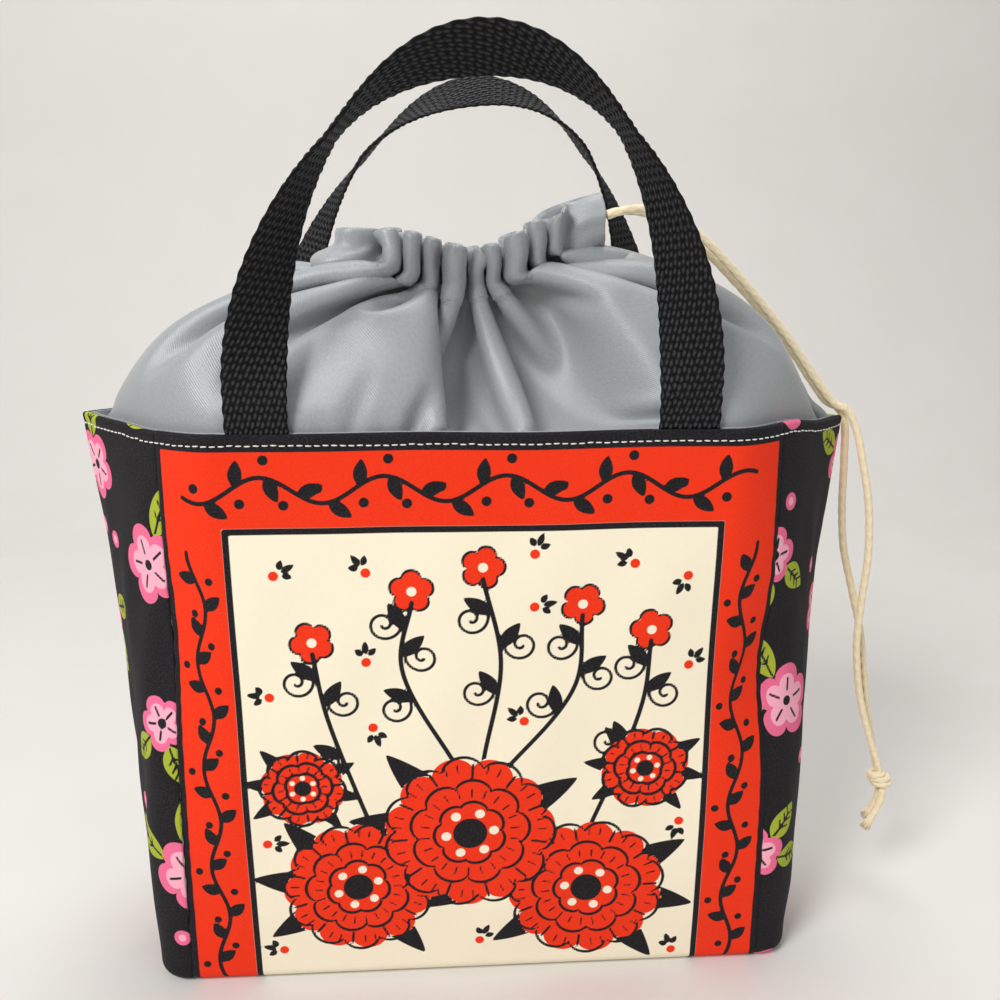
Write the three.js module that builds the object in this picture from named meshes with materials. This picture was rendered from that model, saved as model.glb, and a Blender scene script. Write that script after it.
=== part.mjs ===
// A mini tote bag: lined and stiffened cloth walls, two sewn-in webbing handles, and a gathered cover
// with a drawstring that closes over the mouth. Millimetres, +Z up, the front of the bag faces -Y.
import * as THREE from 'three';

// Body of the bag
const HEIGHT = 210;
const RIM_LENGTH = 278;
const RIM_DEPTH = 92;
const RIM_TIP_RUN = 38;
const RIM_DIP = 4.4;
const BASE_LENGTH = 242;
const BASE_DEPTH = 82;
const BASE_CORNER_RADIUS = 12;
const BASE_EDGE_RADIUS = 5;
const FRONT_WIDTH = 214;

// Cloth, and the room left between pieces
const CLOTH = 0.8;
const STIFFENER = 1;
const LINING = 0.5;
const GAP = 0.3;
const STIFFENER_DROP = 27;

// Webbing handles
const WEB_WIDTH = 20;
const WEB_THICKNESS = 1.5;
const HANDLE_SPACING = 140;
const HANDLE_RISE = 109;
const HANDLE_LEAN = 6;
const HANDLE_PIVOT_HEIGHT = 4;
const HANDLE_INSERT = 25;
const HANDLE_FLAT_MARGIN = 5;
const TWIST_START = 0.06;
const TWIST_AT_SHOULDER = 85;
const TWIST_AT_TOP = 45;
const SHOULDER_PLACE = 0.64;

// Gathered cover and its drawstring channel
const COVER_CLOTH = 0.8;
const COVER_SEAM_DROP = 8;
const COVER_FULLNESS = 2.4;
const COVER_PLEATS = 18;
const PLEAT_DEPTH = 1.6;
const NECK_LENGTH = 84;
const NECK_DEPTH = 18;
const NECK_HEIGHT = 248;
const NECK_SHIFT = 4;
const NECK_RISE = 6.5;
const NECK_SAG = 12.5;
const CHANNEL_HEIGHT = 20;
const CHANNEL_ROOM = 0.9;
const CHANNEL_RUFFLES = 16;
const RUFFLE_DEPTH = 1.2;

// Drawstring
const CORD = 3;
const KNOT_LENGTH = 9;
const KNOT_RADIUS = 4.4;
const KNOT_TURNS = 3;
const CORD_STEP = 2.5 * CORD;

// Places that follow from the sizes above: depths are counted inwards from the outer face
const STIFFENER_FACE = CLOTH + GAP;
const LINING_FACE = CLOTH + GAP + Math.max(STIFFENER, WEB_THICKNESS) + GAP;
const COVER_FACE = LINING_FACE + LINING + GAP;
const HANDLE_HALF = HANDLE_SPACING / 2;
const RIM_FLAT = HANDLE_HALF + WEB_WIDTH / 2 + HANDLE_FLAT_MARGIN;
const PIVOT_Z = HEIGHT + HANDLE_PIVOT_HEIGHT;
const PIVOT_Y = RIM_DEPTH / 2 - STIFFENER_FACE - WEB_THICKNESS / 2;
const CHANNEL_WIDTH = CORD + 2 * (CHANNEL_ROOM + COVER_CLOTH);
const CHANNEL_LIFT = CHANNEL_HEIGHT / 2 + GAP;

const radians = THREE.MathUtils.degToRad;
const lerp = THREE.MathUtils.lerp;

// Materials
const cloth = (color, roughness) => new THREE.MeshStandardMaterial({ color, roughness, metalness: 0 });
const printedCloth = cloth(0xe8401c, 0.8);
const blackCloth = cloth(0x17161a, 0.85);
const fleece = cloth(0xe6e2d8, 0.95);
const greyCloth = cloth(0x9499a3, 0.6);
const blackWebbing = cloth(0x111113, 0.75);
const cottonCord = cloth(0xead6ac, 0.9);

const bag = new THREE.Group();

function addPiece(parent, name, geometry, material) {
  const mesh = new THREE.Mesh(geometry, material);
  mesh.name = name;
  parent.add(mesh);
  return mesh;
}

// A closed skin between two grids of points, grid[column][row]: columns run to the right and rows run
// up when the outer face is looked at. A wrapped skin joins its last column to its first.
function skin(outer, inner, wrapped = false) {
  const columns = outer.length;
  const rows = outer[0].length;
  const positions = [...outer, ...inner].flat().flatMap((point) => point.toArray());
  const index = [];
  const at = (side, column, row) => (side * columns + (column % columns)) * rows + row;
  const quad = (a, b, c, d) => index.push(a, b, c, a, c, d);
  const last = wrapped ? columns : columns - 1;
  const top = rows - 1;
  for (let i = 0; i < last; i++) {
    for (let j = 0; j < top; j++) {
      quad(at(0, i, j), at(0, i + 1, j), at(0, i + 1, j + 1), at(0, i, j + 1));
      quad(at(1, i, j), at(1, i, j + 1), at(1, i + 1, j + 1), at(1, i + 1, j));
    }
    quad(at(0, i + 1, 0), at(0, i, 0), at(1, i, 0), at(1, i + 1, 0));
    quad(at(0, i, top), at(0, i + 1, top), at(1, i + 1, top), at(1, i, top));
  }
  for (let j = 0; j < top && !wrapped; j++) {
    quad(at(0, 0, j), at(0, 0, j + 1), at(1, 0, j + 1), at(1, 0, j));
    quad(at(0, last, j + 1), at(0, last, j), at(1, last, j), at(1, last, j + 1));
  }
  const geometry = new THREE.BufferGeometry();
  geometry.setAttribute('position', new THREE.Float32BufferAttribute(positions, 3));
  geometry.setIndex(index);
  return geometry;
}

// Plan outlines, drawn from the middle of the front to the middle of the right side
function rimQuarter() {
  const half = RIM_LENGTH / 2;
  const path = new THREE.Path().moveTo(0, -RIM_DEPTH / 2).lineTo(RIM_FLAT, -RIM_DEPTH / 2);
  return path.quadraticCurveTo(half - RIM_TIP_RUN, -RIM_DEPTH / 2, half, 0);
}

function baseQuarter() {
  const x = BASE_LENGTH / 2 - BASE_CORNER_RADIUS;
  const y = BASE_DEPTH / 2 - BASE_CORNER_RADIUS;
  const path = new THREE.Path().moveTo(0, -BASE_DEPTH / 2).lineTo(x, -BASE_DEPTH / 2);
  return path.absarc(x, -y, BASE_CORNER_RADIUS, -Math.PI / 2, 0, false).lineTo(BASE_LENGTH / 2, 0);
}

function neckQuarter() {
  const x = (NECK_LENGTH - NECK_DEPTH) / 2;
  const path = new THREE.Path().moveTo(0, -NECK_DEPTH / 2).lineTo(x, -NECK_DEPTH / 2);
  return path.absarc(x, 0, NECK_DEPTH / 2, -Math.PI / 2, 0, false);
}

// A station counts round the bag: 0 front middle, 1 front right seam, 2 right side middle, 3 back
// right seam, 4 back middle, and on round to 8. The seams stay the same cloth width apart.
function pointOnOutline(quarter, station) {
  const turn = ((station % 8) + 8) % 8;
  const half = Math.min(turn, 8 - turn);
  const place = Math.min(half, 4 - half);
  const length = quarter.getLength();
  const seam = FRONT_WIDTH / 2;
  const along = place < 1 ? place * seam : seam + (place - 1) * (length - seam);
  const point = quarter.getPoint(along / length);
  return new THREE.Vector2(turn > 4 ? -point.x : point.x, half > 2 ? -point.y : point.y);
}

// The outline moved inwards by a depth, with each corner mitred
function insetRing(ring, depth) {
  const inward = (from, to) => new THREE.Vector2(from.y - to.y, to.x - from.x).normalize();
  return ring.map((point, i) => {
    const first = inward(ring.at(i - 1), point);
    const second = inward(point, ring[(i + 1) % ring.length]);
    const mitre = first.clone().add(second).divideScalar(1 + first.dot(second));
    return point.clone().addScaledVector(mitre, depth);
  });
}

const rimLine = rimQuarter();
const baseLine = baseQuarter();
const neckLine = neckQuarter();

// Every vertical line of the cloth runs straight from the base outline to the rim outline
function wallRing(stations, z, depth) {
  const ring = stations.map((station) => {
    const low = pointOnOutline(baseLine, station);
    return low.lerp(pointOnOutline(rimLine, station), z / HEIGHT);
  });
  return insetRing(ring, depth);
}

// The worn right end of the rim dips, most at its tip, and the cloth below follows it less and less
function dippedZ(station, z) {
  const apart = Math.min(Math.abs(station - 2), 1);
  const share = 0.5 + 0.5 * Math.cos(Math.PI * apart);
  return z - RIM_DIP * share * (z / HEIGHT) ** 3;
}

// Columns of each wall from its first seam up to the seam that the next wall starts at. The front and
// back are flat as far as the handles are sewn, and have a column at each end of that stretch.
const FLAT_COLUMNS = 6;
const CURVED_COLUMNS = 3;
const SIDE_COLUMNS = 16;
const LAST_FLAT_STATION = 0.9;
const flatEnd = Math.min((2 * RIM_FLAT) / FRONT_WIDTH, LAST_FLAT_STATION);
const between = (start, end, count) => Array.from({ length: count }, (_, i) => lerp(start, end, i / count));
const frontColumns = [
  ...between(-1, -flatEnd, CURVED_COLUMNS),
  ...between(-flatEnd, flatEnd, FLAT_COLUMNS),
  ...between(flatEnd, 1, CURVED_COLUMNS),
];
const sideColumns = between(-1, 1, SIDE_COLUMNS);
const walls = {
  front: frontColumns,
  right: sideColumns.map((place) => 2 + place),
  back: frontColumns.map((place) => 4 + place),
  left: sideColumns.map((place) => 6 + place),
};
const allStations = Object.values(walls).flat();

// The first and last column of a piece, moved half a gap off the seams that it meets its neighbours at
function partedAtSeams(grid) {
  const parted = (edge, next) => edge.map((point, j) => {
    const along = next[j].clone().sub(point).setLength(GAP / 2);
    return along.add(point);
  });
  return [parted(grid[0], grid[1]), ...grid.slice(1, -1), parted(grid.at(-1), grid.at(-2))];
}

// One layer of a wall: it turns under at the base edge and runs straight to its top. All layers have
// their rows at the same heights, so that their faces lie parallel.
const EDGE_ANGLES = [90, 45, 0];
const STRAIGHT_ROWS = 3;
const STIFFENER_TOP = HEIGHT - STIFFENER_DROP;

function layerRows(depth, top) {
  const radius = BASE_EDGE_RADIUS - depth;
  const turned = EDGE_ANGLES.map((angle) => ({
    inset: BASE_EDGE_RADIUS - radius * Math.cos(radians(angle)),
    z: BASE_EDGE_RADIUS - radius * Math.sin(radians(angle)),
  }));
  const straight = Array.from({ length: STRAIGHT_ROWS }, (_, i) => ({
    inset: depth,
    z: lerp(BASE_EDGE_RADIUS, STIFFENER_TOP, (i + 1) / STRAIGHT_ROWS),
  }));
  const head = top > STIFFENER_TOP ? [{ inset: depth, z: top }] : [];
  return [...turned, ...straight, ...head];
}

function layerGrid(wall, depth, top) {
  const first = allStations.indexOf(walls[wall][0]);
  const count = walls[wall].length + 1;
  const rings = layerRows(depth, top).map(({ inset, z }) =>
    wallRing(allStations, z, inset).map((point, i) =>
      new THREE.Vector3(point.x, point.y, dippedZ(allStations[i], z))));
  const column = (i) => rings.map((ring) => ring[(first + i) % ring.length]);
  return partedAtSeams(Array.from({ length: count }, (_, i) => column(i)));
}

function wallLayer(wall, face, thickness, top) {
  return skin(layerGrid(wall, face, top), layerGrid(wall, face + thickness, top));
}

function baseLayer(face, thickness) {
  const outline = new THREE.Shape(wallRing(allStations, 0, BASE_EDGE_RADIUS + GAP));
  const plate = new THREE.ExtrudeGeometry(outline, { depth: thickness, bevelEnabled: false });
  return plate.translate(0, 0, face);
}

const shell = new THREE.Group();
bag.add(shell);
for (const wall of Object.keys(walls)) {
  const panel = wall === 'left' || wall === 'right' ? `${wall}_side` : wall;
  const outside = wall === 'front' ? printedCloth : blackCloth;
  addPiece(shell, `${panel}_panel`, wallLayer(wall, 0, CLOTH, HEIGHT), outside);
  addPiece(shell, `${panel}_stiffener`, wallLayer(wall, STIFFENER_FACE, STIFFENER, STIFFENER_TOP), fleece);
  addPiece(shell, `${panel}_lining`, wallLayer(wall, LINING_FACE, LINING, HEIGHT), greyCloth);
}
addPiece(shell, 'base_panel', baseLayer(0, CLOTH), blackCloth);
addPiece(shell, 'base_stiffener', baseLayer(STIFFENER_FACE, STIFFENER), fleece);
addPiece(shell, 'base_lining', baseLayer(LINING_FACE, LINING), greyCloth);

// Handle ends, sewn flat between the outer cloth and the lining and standing just clear of the rim.
// Their tops taper, which leaves the handle room to fold right out.
const FOLD_ROOM = 0.8;
const FOLDED_EDGE = 0.3;
const FOLD_TAPER = WEB_THICKNESS / 3;
const INSERT_TOP = PIVOT_Z - WEB_THICKNESS / 2 - FOLD_ROOM;
const INSERT_BOTTOM = HEIGHT - HANDLE_INSERT;

function handleEnd(side) {
  const middleY = (z) =>
    lerp(-BASE_DEPTH / 2, -RIM_DEPTH / 2, Math.min(z / HEIGHT, 1)) + STIFFENER_FACE + WEB_THICKNESS / 2;
  const rows = [[INSERT_BOTTOM, 1], [HEIGHT, 1], [INSERT_TOP - FOLD_TAPER, 1], [INSERT_TOP, FOLDED_EDGE]];
  const grid = (face) => [-1, 1].map((edge) => rows.map(([z, thick]) => {
    const y = middleY(z) + face * thick * WEB_THICKNESS / 2;
    return new THREE.Vector3(side * HANDLE_HALF + edge * WEB_WIDTH / 2, y, z);
  }));
  return skin(grid(-1), grid(1));
}

// A handle loop: webbing on a half-ellipse that leans outwards. It leaves the rim flat to the wall,
// turns edge-on at the shoulders with its front face inwards, and turns part of the way back on top.
const HANDLE_STEPS = 40;
const TWIST_EASE = 0.8;
const ROUND_END = [[-1, FOLDED_EDGE], [-0.7, 0.7]];

function twistAt(place) {
  const rise = THREE.MathUtils.clamp((place - TWIST_START) / (SHOULDER_PLACE - TWIST_START), 0, 1);
  const rest = Math.max(place - SHOULDER_PLACE, 0) / (1 - SHOULDER_PLACE);
  const back = THREE.MathUtils.smoothstep(rest, 0, 1) * (TWIST_AT_SHOULDER - TWIST_AT_TOP);
  return radians(TWIST_AT_SHOULDER * rise ** TWIST_EASE - back);
}

function handleLoop() {
  const arch = new THREE.EllipseCurve(0, 0, HANDLE_HALF, HANDLE_RISE, Math.PI, 0, true);
  const up = new THREE.Vector3(0, -Math.sin(radians(HANDLE_LEAN)), Math.cos(radians(HANDLE_LEAN)));
  const backward = new THREE.Vector3(0, up.z, -up.y);
  const pivot = new THREE.Vector3(0, -PIVOT_Y, PIVOT_Z);
  const place = (x, height) => pivot.clone().addScaledVector(up, height).setX(x);
  const half = WEB_THICKNESS / 2;
  const rings = [];
  const addRing = (centre, inward, twist, thick) => {
    const turned = (a, b) => inward.clone().multiplyScalar(a).addScaledVector(backward, b);
    const across = turned(Math.cos(twist), Math.sin(twist));
    const face = turned(Math.sin(twist), -Math.cos(twist));
    rings.push({ centre, across, face, thick });
  };
  const ends = (side) => ROUND_END.map(([drop, thick]) =>
    [place(side * HANDLE_HALF, drop * half), new THREE.Vector3(-side, 0, 0), thick]);
  for (const [centre, inward, thick] of ends(-1)) addRing(centre, inward, 0, thick);
  for (let i = 0; i <= HANDLE_STEPS; i++) {
    const u = i / HANDLE_STEPS;
    const point = arch.getPointAt(u);
    const tangent = arch.getTangentAt(u);
    const inward = up.clone().multiplyScalar(-tangent.x).setX(tangent.y);
    addRing(place(point.x, point.y), inward, twistAt(1 - Math.abs(1 - 2 * u)), 1);
  }
  for (const [centre, inward, thick] of ends(1).reverse()) addRing(centre, inward, 0, thick);
  const grid = (side) => [-1, 1].map((edge) => rings.map(({ centre, across, face, thick }) => {
    const point = centre.clone().addScaledVector(across, edge * WEB_WIDTH / 2);
    return point.addScaledVector(face, side * thick * half);
  }));
  return skin(grid(1), grid(-1));
}

for (const [wall, turn] of [['front', 0], ['back', Math.PI]]) {
  const pair = new THREE.Group();
  pair.rotation.z = turn;
  bag.add(pair);
  const sides = turn ? { right: -1, left: 1 } : { left: -1, right: 1 };
  for (const [side, sign] of Object.entries(sides)) {
    addPiece(pair, `${wall}_handle_${side}_end`, handleEnd(sign), blackWebbing);
  }
  addPiece(pair, `${wall}_handle`, handleLoop(), blackWebbing);
}

// Gathered cover: it leaves the lining just below the rim and domes in to the neck in soft pleats
const COVER_COLUMNS = 4 * COVER_PLEATS;
const COVER_ROWS = 6;
const COVER_FOOT = HEIGHT - COVER_SEAM_DROP;

// The neck hangs between its two ends, the right one higher
function neckZ(x) {
  const side = (x - NECK_SHIFT) / (NECK_LENGTH / 2);
  return NECK_HEIGHT + NECK_RISE * side + NECK_SAG * (0.5 - 0.5 * Math.cos(Math.PI * side));
}

function neckPoint(station) {
  const half = station > 4 ? 8 - station : station;
  const quarter = half > 2 ? 4 - half : half;
  const point = neckLine.getPoint(quarter / 2);
  const x = station > 4 ? -point.x : point.x;
  return new THREE.Vector2(x + NECK_SHIFT, half > 2 ? -point.y : point.y);
}

function coverRing(place, depth, drop) {
  const stations = Array.from({ length: COVER_COLUMNS }, (_, i) => (8 * i) / COVER_COLUMNS);
  const foot = wallRing(stations, COVER_FOOT, COVER_FACE);
  const neck = stations.map(neckPoint);
  const rise = 1 - (1 - place) ** COVER_FULLNESS;
  const ring = foot.map((point, i) => point.clone().lerp(neck[i], place));
  const inner = insetRing(ring, depth);
  const outer = insetRing(ring, depth + PLEAT_DEPTH);
  return stations.map((station, i) => {
    const fold = place ** 2 * (0.5 - 0.5 * Math.cos((station / 8) * COVER_PLEATS * 2 * Math.PI));
    const point = inner[i].clone().lerp(outer[i], fold);
    const z = lerp(dippedZ(station, COVER_FOOT), neckZ(neck[i].x), rise);
    return new THREE.Vector3(point.x, point.y, z - drop);
  });
}

function coverGrid(first, depth, drop) {
  const rings = Array.from({ length: COVER_ROWS + 1 }, (_, j) => coverRing(j / COVER_ROWS, depth, drop));
  const count = COVER_COLUMNS / 2;
  return Array.from({ length: count + 1 }, (_, i) =>
    rings.map((ring) => ring[(first + i + COVER_COLUMNS) % COVER_COLUMNS]));
}

function coverHalf(first) {
  const step = COVER_CLOTH / Math.SQRT2;
  return skin(partedAtSeams(coverGrid(first, 0, 0)), partedAtSeams(coverGrid(first, step, step)));
}

const cover = new THREE.Group();
bag.add(cover);
addPiece(cover, 'cover_front', coverHalf(-COVER_COLUMNS / 4), greyCloth);
addPiece(cover, 'cover_back', coverHalf(COVER_COLUMNS / 4), greyCloth);

// The drawstring runs in a channel along the neck, a hairpin open at the right where the cord leaves
class Hairpin extends THREE.Curve {
  constructor() {
    super();
    const end = NECK_SHIFT + NECK_LENGTH / 2;
    const bend = NECK_SHIFT - NECK_LENGTH / 2 + NECK_DEPTH / 2;
    this.line = new THREE.Path().moveTo(end, -NECK_DEPTH / 2).lineTo(bend, -NECK_DEPTH / 2);
    this.line.absarc(bend, 0, NECK_DEPTH / 2, -Math.PI / 2, Math.PI / 2, true).lineTo(end, NECK_DEPTH / 2);
  }

  getPoint(t, target = new THREE.Vector3()) {
    const point = this.line.getPoint(t);
    return target.set(point.x, point.y, neckZ(point.x) + CHANNEL_LIFT);
  }
}

const hairpin = new Hairpin();
const CHANNEL_SIDES = 10;
const CHANNEL_STEPS = 4 * CHANNEL_RUFFLES;

function channelGrid(inset) {
  const width = CHANNEL_WIDTH / 2 - inset;
  const height = CHANNEL_HEIGHT / 2 - inset;
  return Array.from({ length: CHANNEL_SIDES }, (_, i) => {
    const angle = (2 * Math.PI * i) / CHANNEL_SIDES;
    return Array.from({ length: CHANNEL_STEPS + 1 }, (_, j) => {
      const t = j / CHANNEL_STEPS;
      const tangent = hairpin.getTangent(t).setZ(0).normalize();
      const outward = new THREE.Vector3(-tangent.y, tangent.x, 0);
      const crest = 0.5 - 0.5 * Math.cos(2 * Math.PI * CHANNEL_RUFFLES * t);
      const wave = RUFFLE_DEPTH * crest * Math.max(Math.cos(angle), 0);
      const point = hairpin.getPoint(t).addScaledVector(outward, width * Math.cos(angle) + wave);
      return point.add(new THREE.Vector3(0, 0, height * Math.sin(angle)));
    });
  });
}

addPiece(cover, 'drawstring_channel', skin(channelGrid(0), channelGrid(COVER_CLOTH), true), greyCloth);

// Cords: a round section along a smooth curve
const CORD_SIDES = 8;

function cordAlong(curve) {
  const circle = new THREE.EllipseCurve(0, 0, CORD / 2, CORD / 2).getPoints(CORD_SIDES);
  const steps = Math.ceil(curve.getLength() / CORD_STEP);
  const options = { steps, extrudePath: curve, bevelEnabled: false, curveSegments: 1 };
  return new THREE.ExtrudeGeometry(new THREE.Shape(circle.slice(1)), options);
}

const drawstring = new THREE.Group();
bag.add(drawstring);
addPiece(drawstring, 'drawstring_in_channel', cordAlong(hairpin), cottonCord);

// Both strands leave the channel at its right end, run down behind the right handle legs, go over the
// rim tip and hang outside. Each is one cord along places chosen by eye, parted at the rim.
const strands = {
  front: {
    inside: [[46.6, -9, 277.4], [56, -8, 279.6], [68, -5.6, 278], [81, -3.2, 270.4], [99, -1, 253.6],
      [117, 0, 233.4], [129, 0.8, 217.8], [136.4, 1, 209.5]],
    overRim: [140.6, 1, 207.8],
    outside: [[144.4, 0.8, 202.1], [148.6, -0.6, 187], [152.4, -1.6, 169], [154.2, -1.2, 150],
      [154.8, 0, 130], [156, 1, 112], [159.6, 1.8, 90], [163.8, 2, 72], [166.8, 2, 60]],
  },
  back: {
    inside: [[46.6, 9, 277.4], [56, 8.6, 279.2], [68, 7.2, 277], [81, 5.8, 268.8], [99, 4.9, 252],
      [117, 4.6, 232.4], [128, 4.6, 217.8], [134.6, 4.6, 209.8]],
    overRim: [138.8, 4.6, 207.8],
    outside: [[142, 4.8, 202.1], [143.8, 5.4, 187], [145.4, 6.2, 169], [147.2, 6.6, 150], [150.2, 6.6, 130],
      [154, 6.2, 112], [158.8, 5.6, 90], [163.8, 5.4, 72], [166.8, 5.4, 60]],
  },
};

function cordRoute(points) {
  return new THREE.CatmullRomCurve3(points.map((point) => new THREE.Vector3(...point)));
}

// A stretch of a longer cord, from one length along it to another
class Stretch extends THREE.Curve {
  constructor(whole, start, end) {
    super();
    Object.assign(this, { whole, start, end });
  }

  getPoint(t, target) {
    return this.whole.getPointAt(lerp(this.start, this.end, t) / this.whole.getLength(), target);
  }
}

function lengthToPoint(curve, number) {
  const perSpan = 20;
  return curve.getLengths(perSpan * (curve.points.length - 1))[perSpan * number];
}

for (const [name, { inside, overRim, outside }] of Object.entries(strands)) {
  const whole = cordRoute([...inside, overRim, ...outside]);
  const rim = lengthToPoint(whole, inside.length);
  const upper = new Stretch(whole, 0, rim - GAP / 2);
  const lower = new Stretch(whole, rim + GAP / 2, whole.getLength());
  addPiece(drawstring, `upper_strand_${name}`, cordAlong(upper), cottonCord);
  addPiece(drawstring, `lower_strand_${name}`, cordAlong(lower), cottonCord);
}

// The stopper knot takes both strands, and their cut ends hang below it
const KNOT_TOP = new THREE.Vector3(166.9, 3.7, 59.5);
const KNOT_AXIS = new THREE.Vector3(0.24, 0, -0.97).normalize();
const KNOT_SIDES = 14;
const KNOT_STEPS = 18;
const KNOT_TAPER = 0.25;
const KNOT_GROOVE = 0.14;

function knotSolid() {
  const profile = Array.from({ length: KNOT_STEPS + 1 }, (_, i) => {
    const t = i / KNOT_STEPS;
    const barrel = 1 - KNOT_TAPER * (1 - Math.sin(Math.PI * t));
    const turns = 1 - KNOT_GROOVE * (1 - Math.abs(Math.sin(Math.PI * KNOT_TURNS * t)));
    return new THREE.Vector2(KNOT_RADIUS * barrel * turns, KNOT_LENGTH * t);
  });
  const closed = [new THREE.Vector2(0, 0), ...profile, new THREE.Vector2(0, KNOT_LENGTH)];
  return new THREE.LatheGeometry(closed, KNOT_SIDES);
}

const knot = addPiece(drawstring, 'cord_knot', knotSolid(), cottonCord);
knot.position.copy(KNOT_TOP);
knot.quaternion.setFromUnitVectors(new THREE.Vector3(0, 1, 0), KNOT_AXIS);

const cordEnds = {
  front: [[169, 2, 50.3], [168.6, 1.4, 44], [166.4, 0.6, 38], [163.4, 0, 32]],
  back: [[169.2, 5.4, 50.3], [169.8, 6, 44], [169, 6.6, 38], [167.4, 7, 33]],
};
for (const [name, points] of Object.entries(cordEnds)) {
  addPiece(drawstring, `cord_end_${name}`, cordAlong(cordRoute(points)), cottonCord);
}

export default bag;
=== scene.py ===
import math

import bpy
import numpy as np
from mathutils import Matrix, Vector


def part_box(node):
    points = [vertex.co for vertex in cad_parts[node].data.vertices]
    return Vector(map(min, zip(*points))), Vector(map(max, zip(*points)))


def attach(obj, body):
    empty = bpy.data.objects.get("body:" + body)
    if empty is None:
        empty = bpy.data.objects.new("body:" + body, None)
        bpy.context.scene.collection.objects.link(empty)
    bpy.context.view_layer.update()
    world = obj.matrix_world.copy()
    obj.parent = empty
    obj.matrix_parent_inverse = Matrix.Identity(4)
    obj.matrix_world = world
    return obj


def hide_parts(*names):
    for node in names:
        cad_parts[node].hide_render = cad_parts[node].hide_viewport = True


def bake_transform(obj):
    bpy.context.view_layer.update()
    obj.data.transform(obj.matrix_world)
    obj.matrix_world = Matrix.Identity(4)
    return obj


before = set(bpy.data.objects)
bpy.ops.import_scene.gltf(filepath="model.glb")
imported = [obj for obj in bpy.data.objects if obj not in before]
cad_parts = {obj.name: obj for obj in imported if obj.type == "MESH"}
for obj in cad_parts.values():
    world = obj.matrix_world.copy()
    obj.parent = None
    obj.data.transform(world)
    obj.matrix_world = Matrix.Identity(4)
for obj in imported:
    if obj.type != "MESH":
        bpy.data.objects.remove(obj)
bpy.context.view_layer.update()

# Shapes are worked out in millimetres and written to the meshes in metres.
MM = 0.001


def box_mm(node):
    low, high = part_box(node)
    return np.array(low) / MM, np.array(high) / MM


# Sizes of the bag, as the frame has them
HEIGHT = box_mm("front_panel")[1][2]
RIM_HALF_LENGTH = box_mm("right_side_panel")[1][0]
RIM_HALF_DEPTH = -box_mm("front_panel")[0][1]
RIM_FLAT = 85
RIM_TIP_RUN = 38
RIM_DIP = 4.4
BASE_HALF_LENGTH = 121
BASE_HALF_DEPTH = 41
BASE_CORNER = 12
EDGE_RADIUS = 5
SEAM = 107

# Layers of the walls, as depths inwards from the outer face
CLOTH = 0.8
STIFFENER_FACE, STIFFENER = 1.1, 1.0
LINING_FACE, LINING = 2.9, 0.5
COVER_FACE = 3.7
STIFFENER_TOP = box_mm("front_stiffener")[1][2]
HEM = 12
SEWN_HEM = 2.6
HEM_AT_WEBBING = 0.9

# Webbing
WEB_WIDTH = 20
WEB_THICKNESS = 1.5
HANDLE_HALF = 70
HANDLE_RISE = 109
HANDLE_LEAN = math.radians(6)
PIVOT_Z = HEIGHT + 4
PIVOT_Y = RIM_HALF_DEPTH - STIFFENER_FACE - WEB_THICKNESS / 2
INSERT_BOTTOM = box_mm("front_handle_left_end")[0][2]

# Cover and its drawstring
COVER_FOOT = HEIGHT - 8
CORD = 3

# Camera
PHOTO_FOCAL = 1000
PHOTO_SIZE = 1000
SENSOR = 36
CAMERA_PLACE = (-11.9, -361.4, 273.1)
CAMERA_YAW = math.radians(-3.55)
CAMERA_PITCH = math.radians(15.2)


def make_camera():
    data = bpy.data.cameras.new("camera")
    data.sensor_width = SENSOR
    data.lens = SENSOR * PHOTO_FOCAL / PHOTO_SIZE
    data.clip_start = 0.01
    camera = bpy.data.objects.new("camera", data)
    camera.location = Vector(CAMERA_PLACE) * MM
    camera.rotation_euler = (math.pi / 2 - CAMERA_PITCH, 0, CAMERA_YAW)
    bpy.context.scene.collection.objects.link(camera)
    bpy.context.scene.camera = camera


make_camera()


# Meshes
def add_mesh(name, points, faces, material, uv=None, values=None):
    mesh = bpy.data.meshes.new(name)
    mesh.from_pydata((np.asarray(points) * MM).tolist(), [], faces)
    mesh.polygons.foreach_set("use_smooth", np.ones(len(mesh.polygons), bool))
    if uv is not None:
        corners = np.zeros(len(mesh.loops), np.int32)
        mesh.loops.foreach_get("vertex_index", corners)
        layer = mesh.uv_layers.new(name="cloth")
        layer.data.foreach_set("uv", np.asarray(uv, np.float32)[corners].ravel())
    for key, numbers in (values or {}).items():
        attribute = mesh.attributes.new(key, "FLOAT", "POINT")
        attribute.data.foreach_set("value", np.asarray(numbers, np.float32))
    mesh.materials.append(material)
    piece = bpy.data.objects.new(name, mesh)
    bpy.context.scene.collection.objects.link(piece)
    return piece


def quads(ids):
    """Faces of a grid of point numbers, ids[column, row]."""
    corners = [ids[:-1, :-1], ids[1:, :-1], ids[1:, 1:], ids[:-1, 1:]]
    return np.stack(corners, -1).reshape(-1, 4).tolist()


def closed_rings(count, sides):
    """Point numbers of a stack of rings, each with its first point once more at its end."""
    ids = np.arange(count * sides).reshape(count, sides)
    return np.concatenate([ids, ids[:, :1]], 1)


def tube_faces(count, sides):
    """Faces of a tube whose rings turn to the right about its way, with both ends closed."""
    ids = closed_rings(count, sides)
    return quads(ids.T) + [ids[0, :-1][::-1].tolist(), ids[-1, :-1].tolist()]


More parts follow.
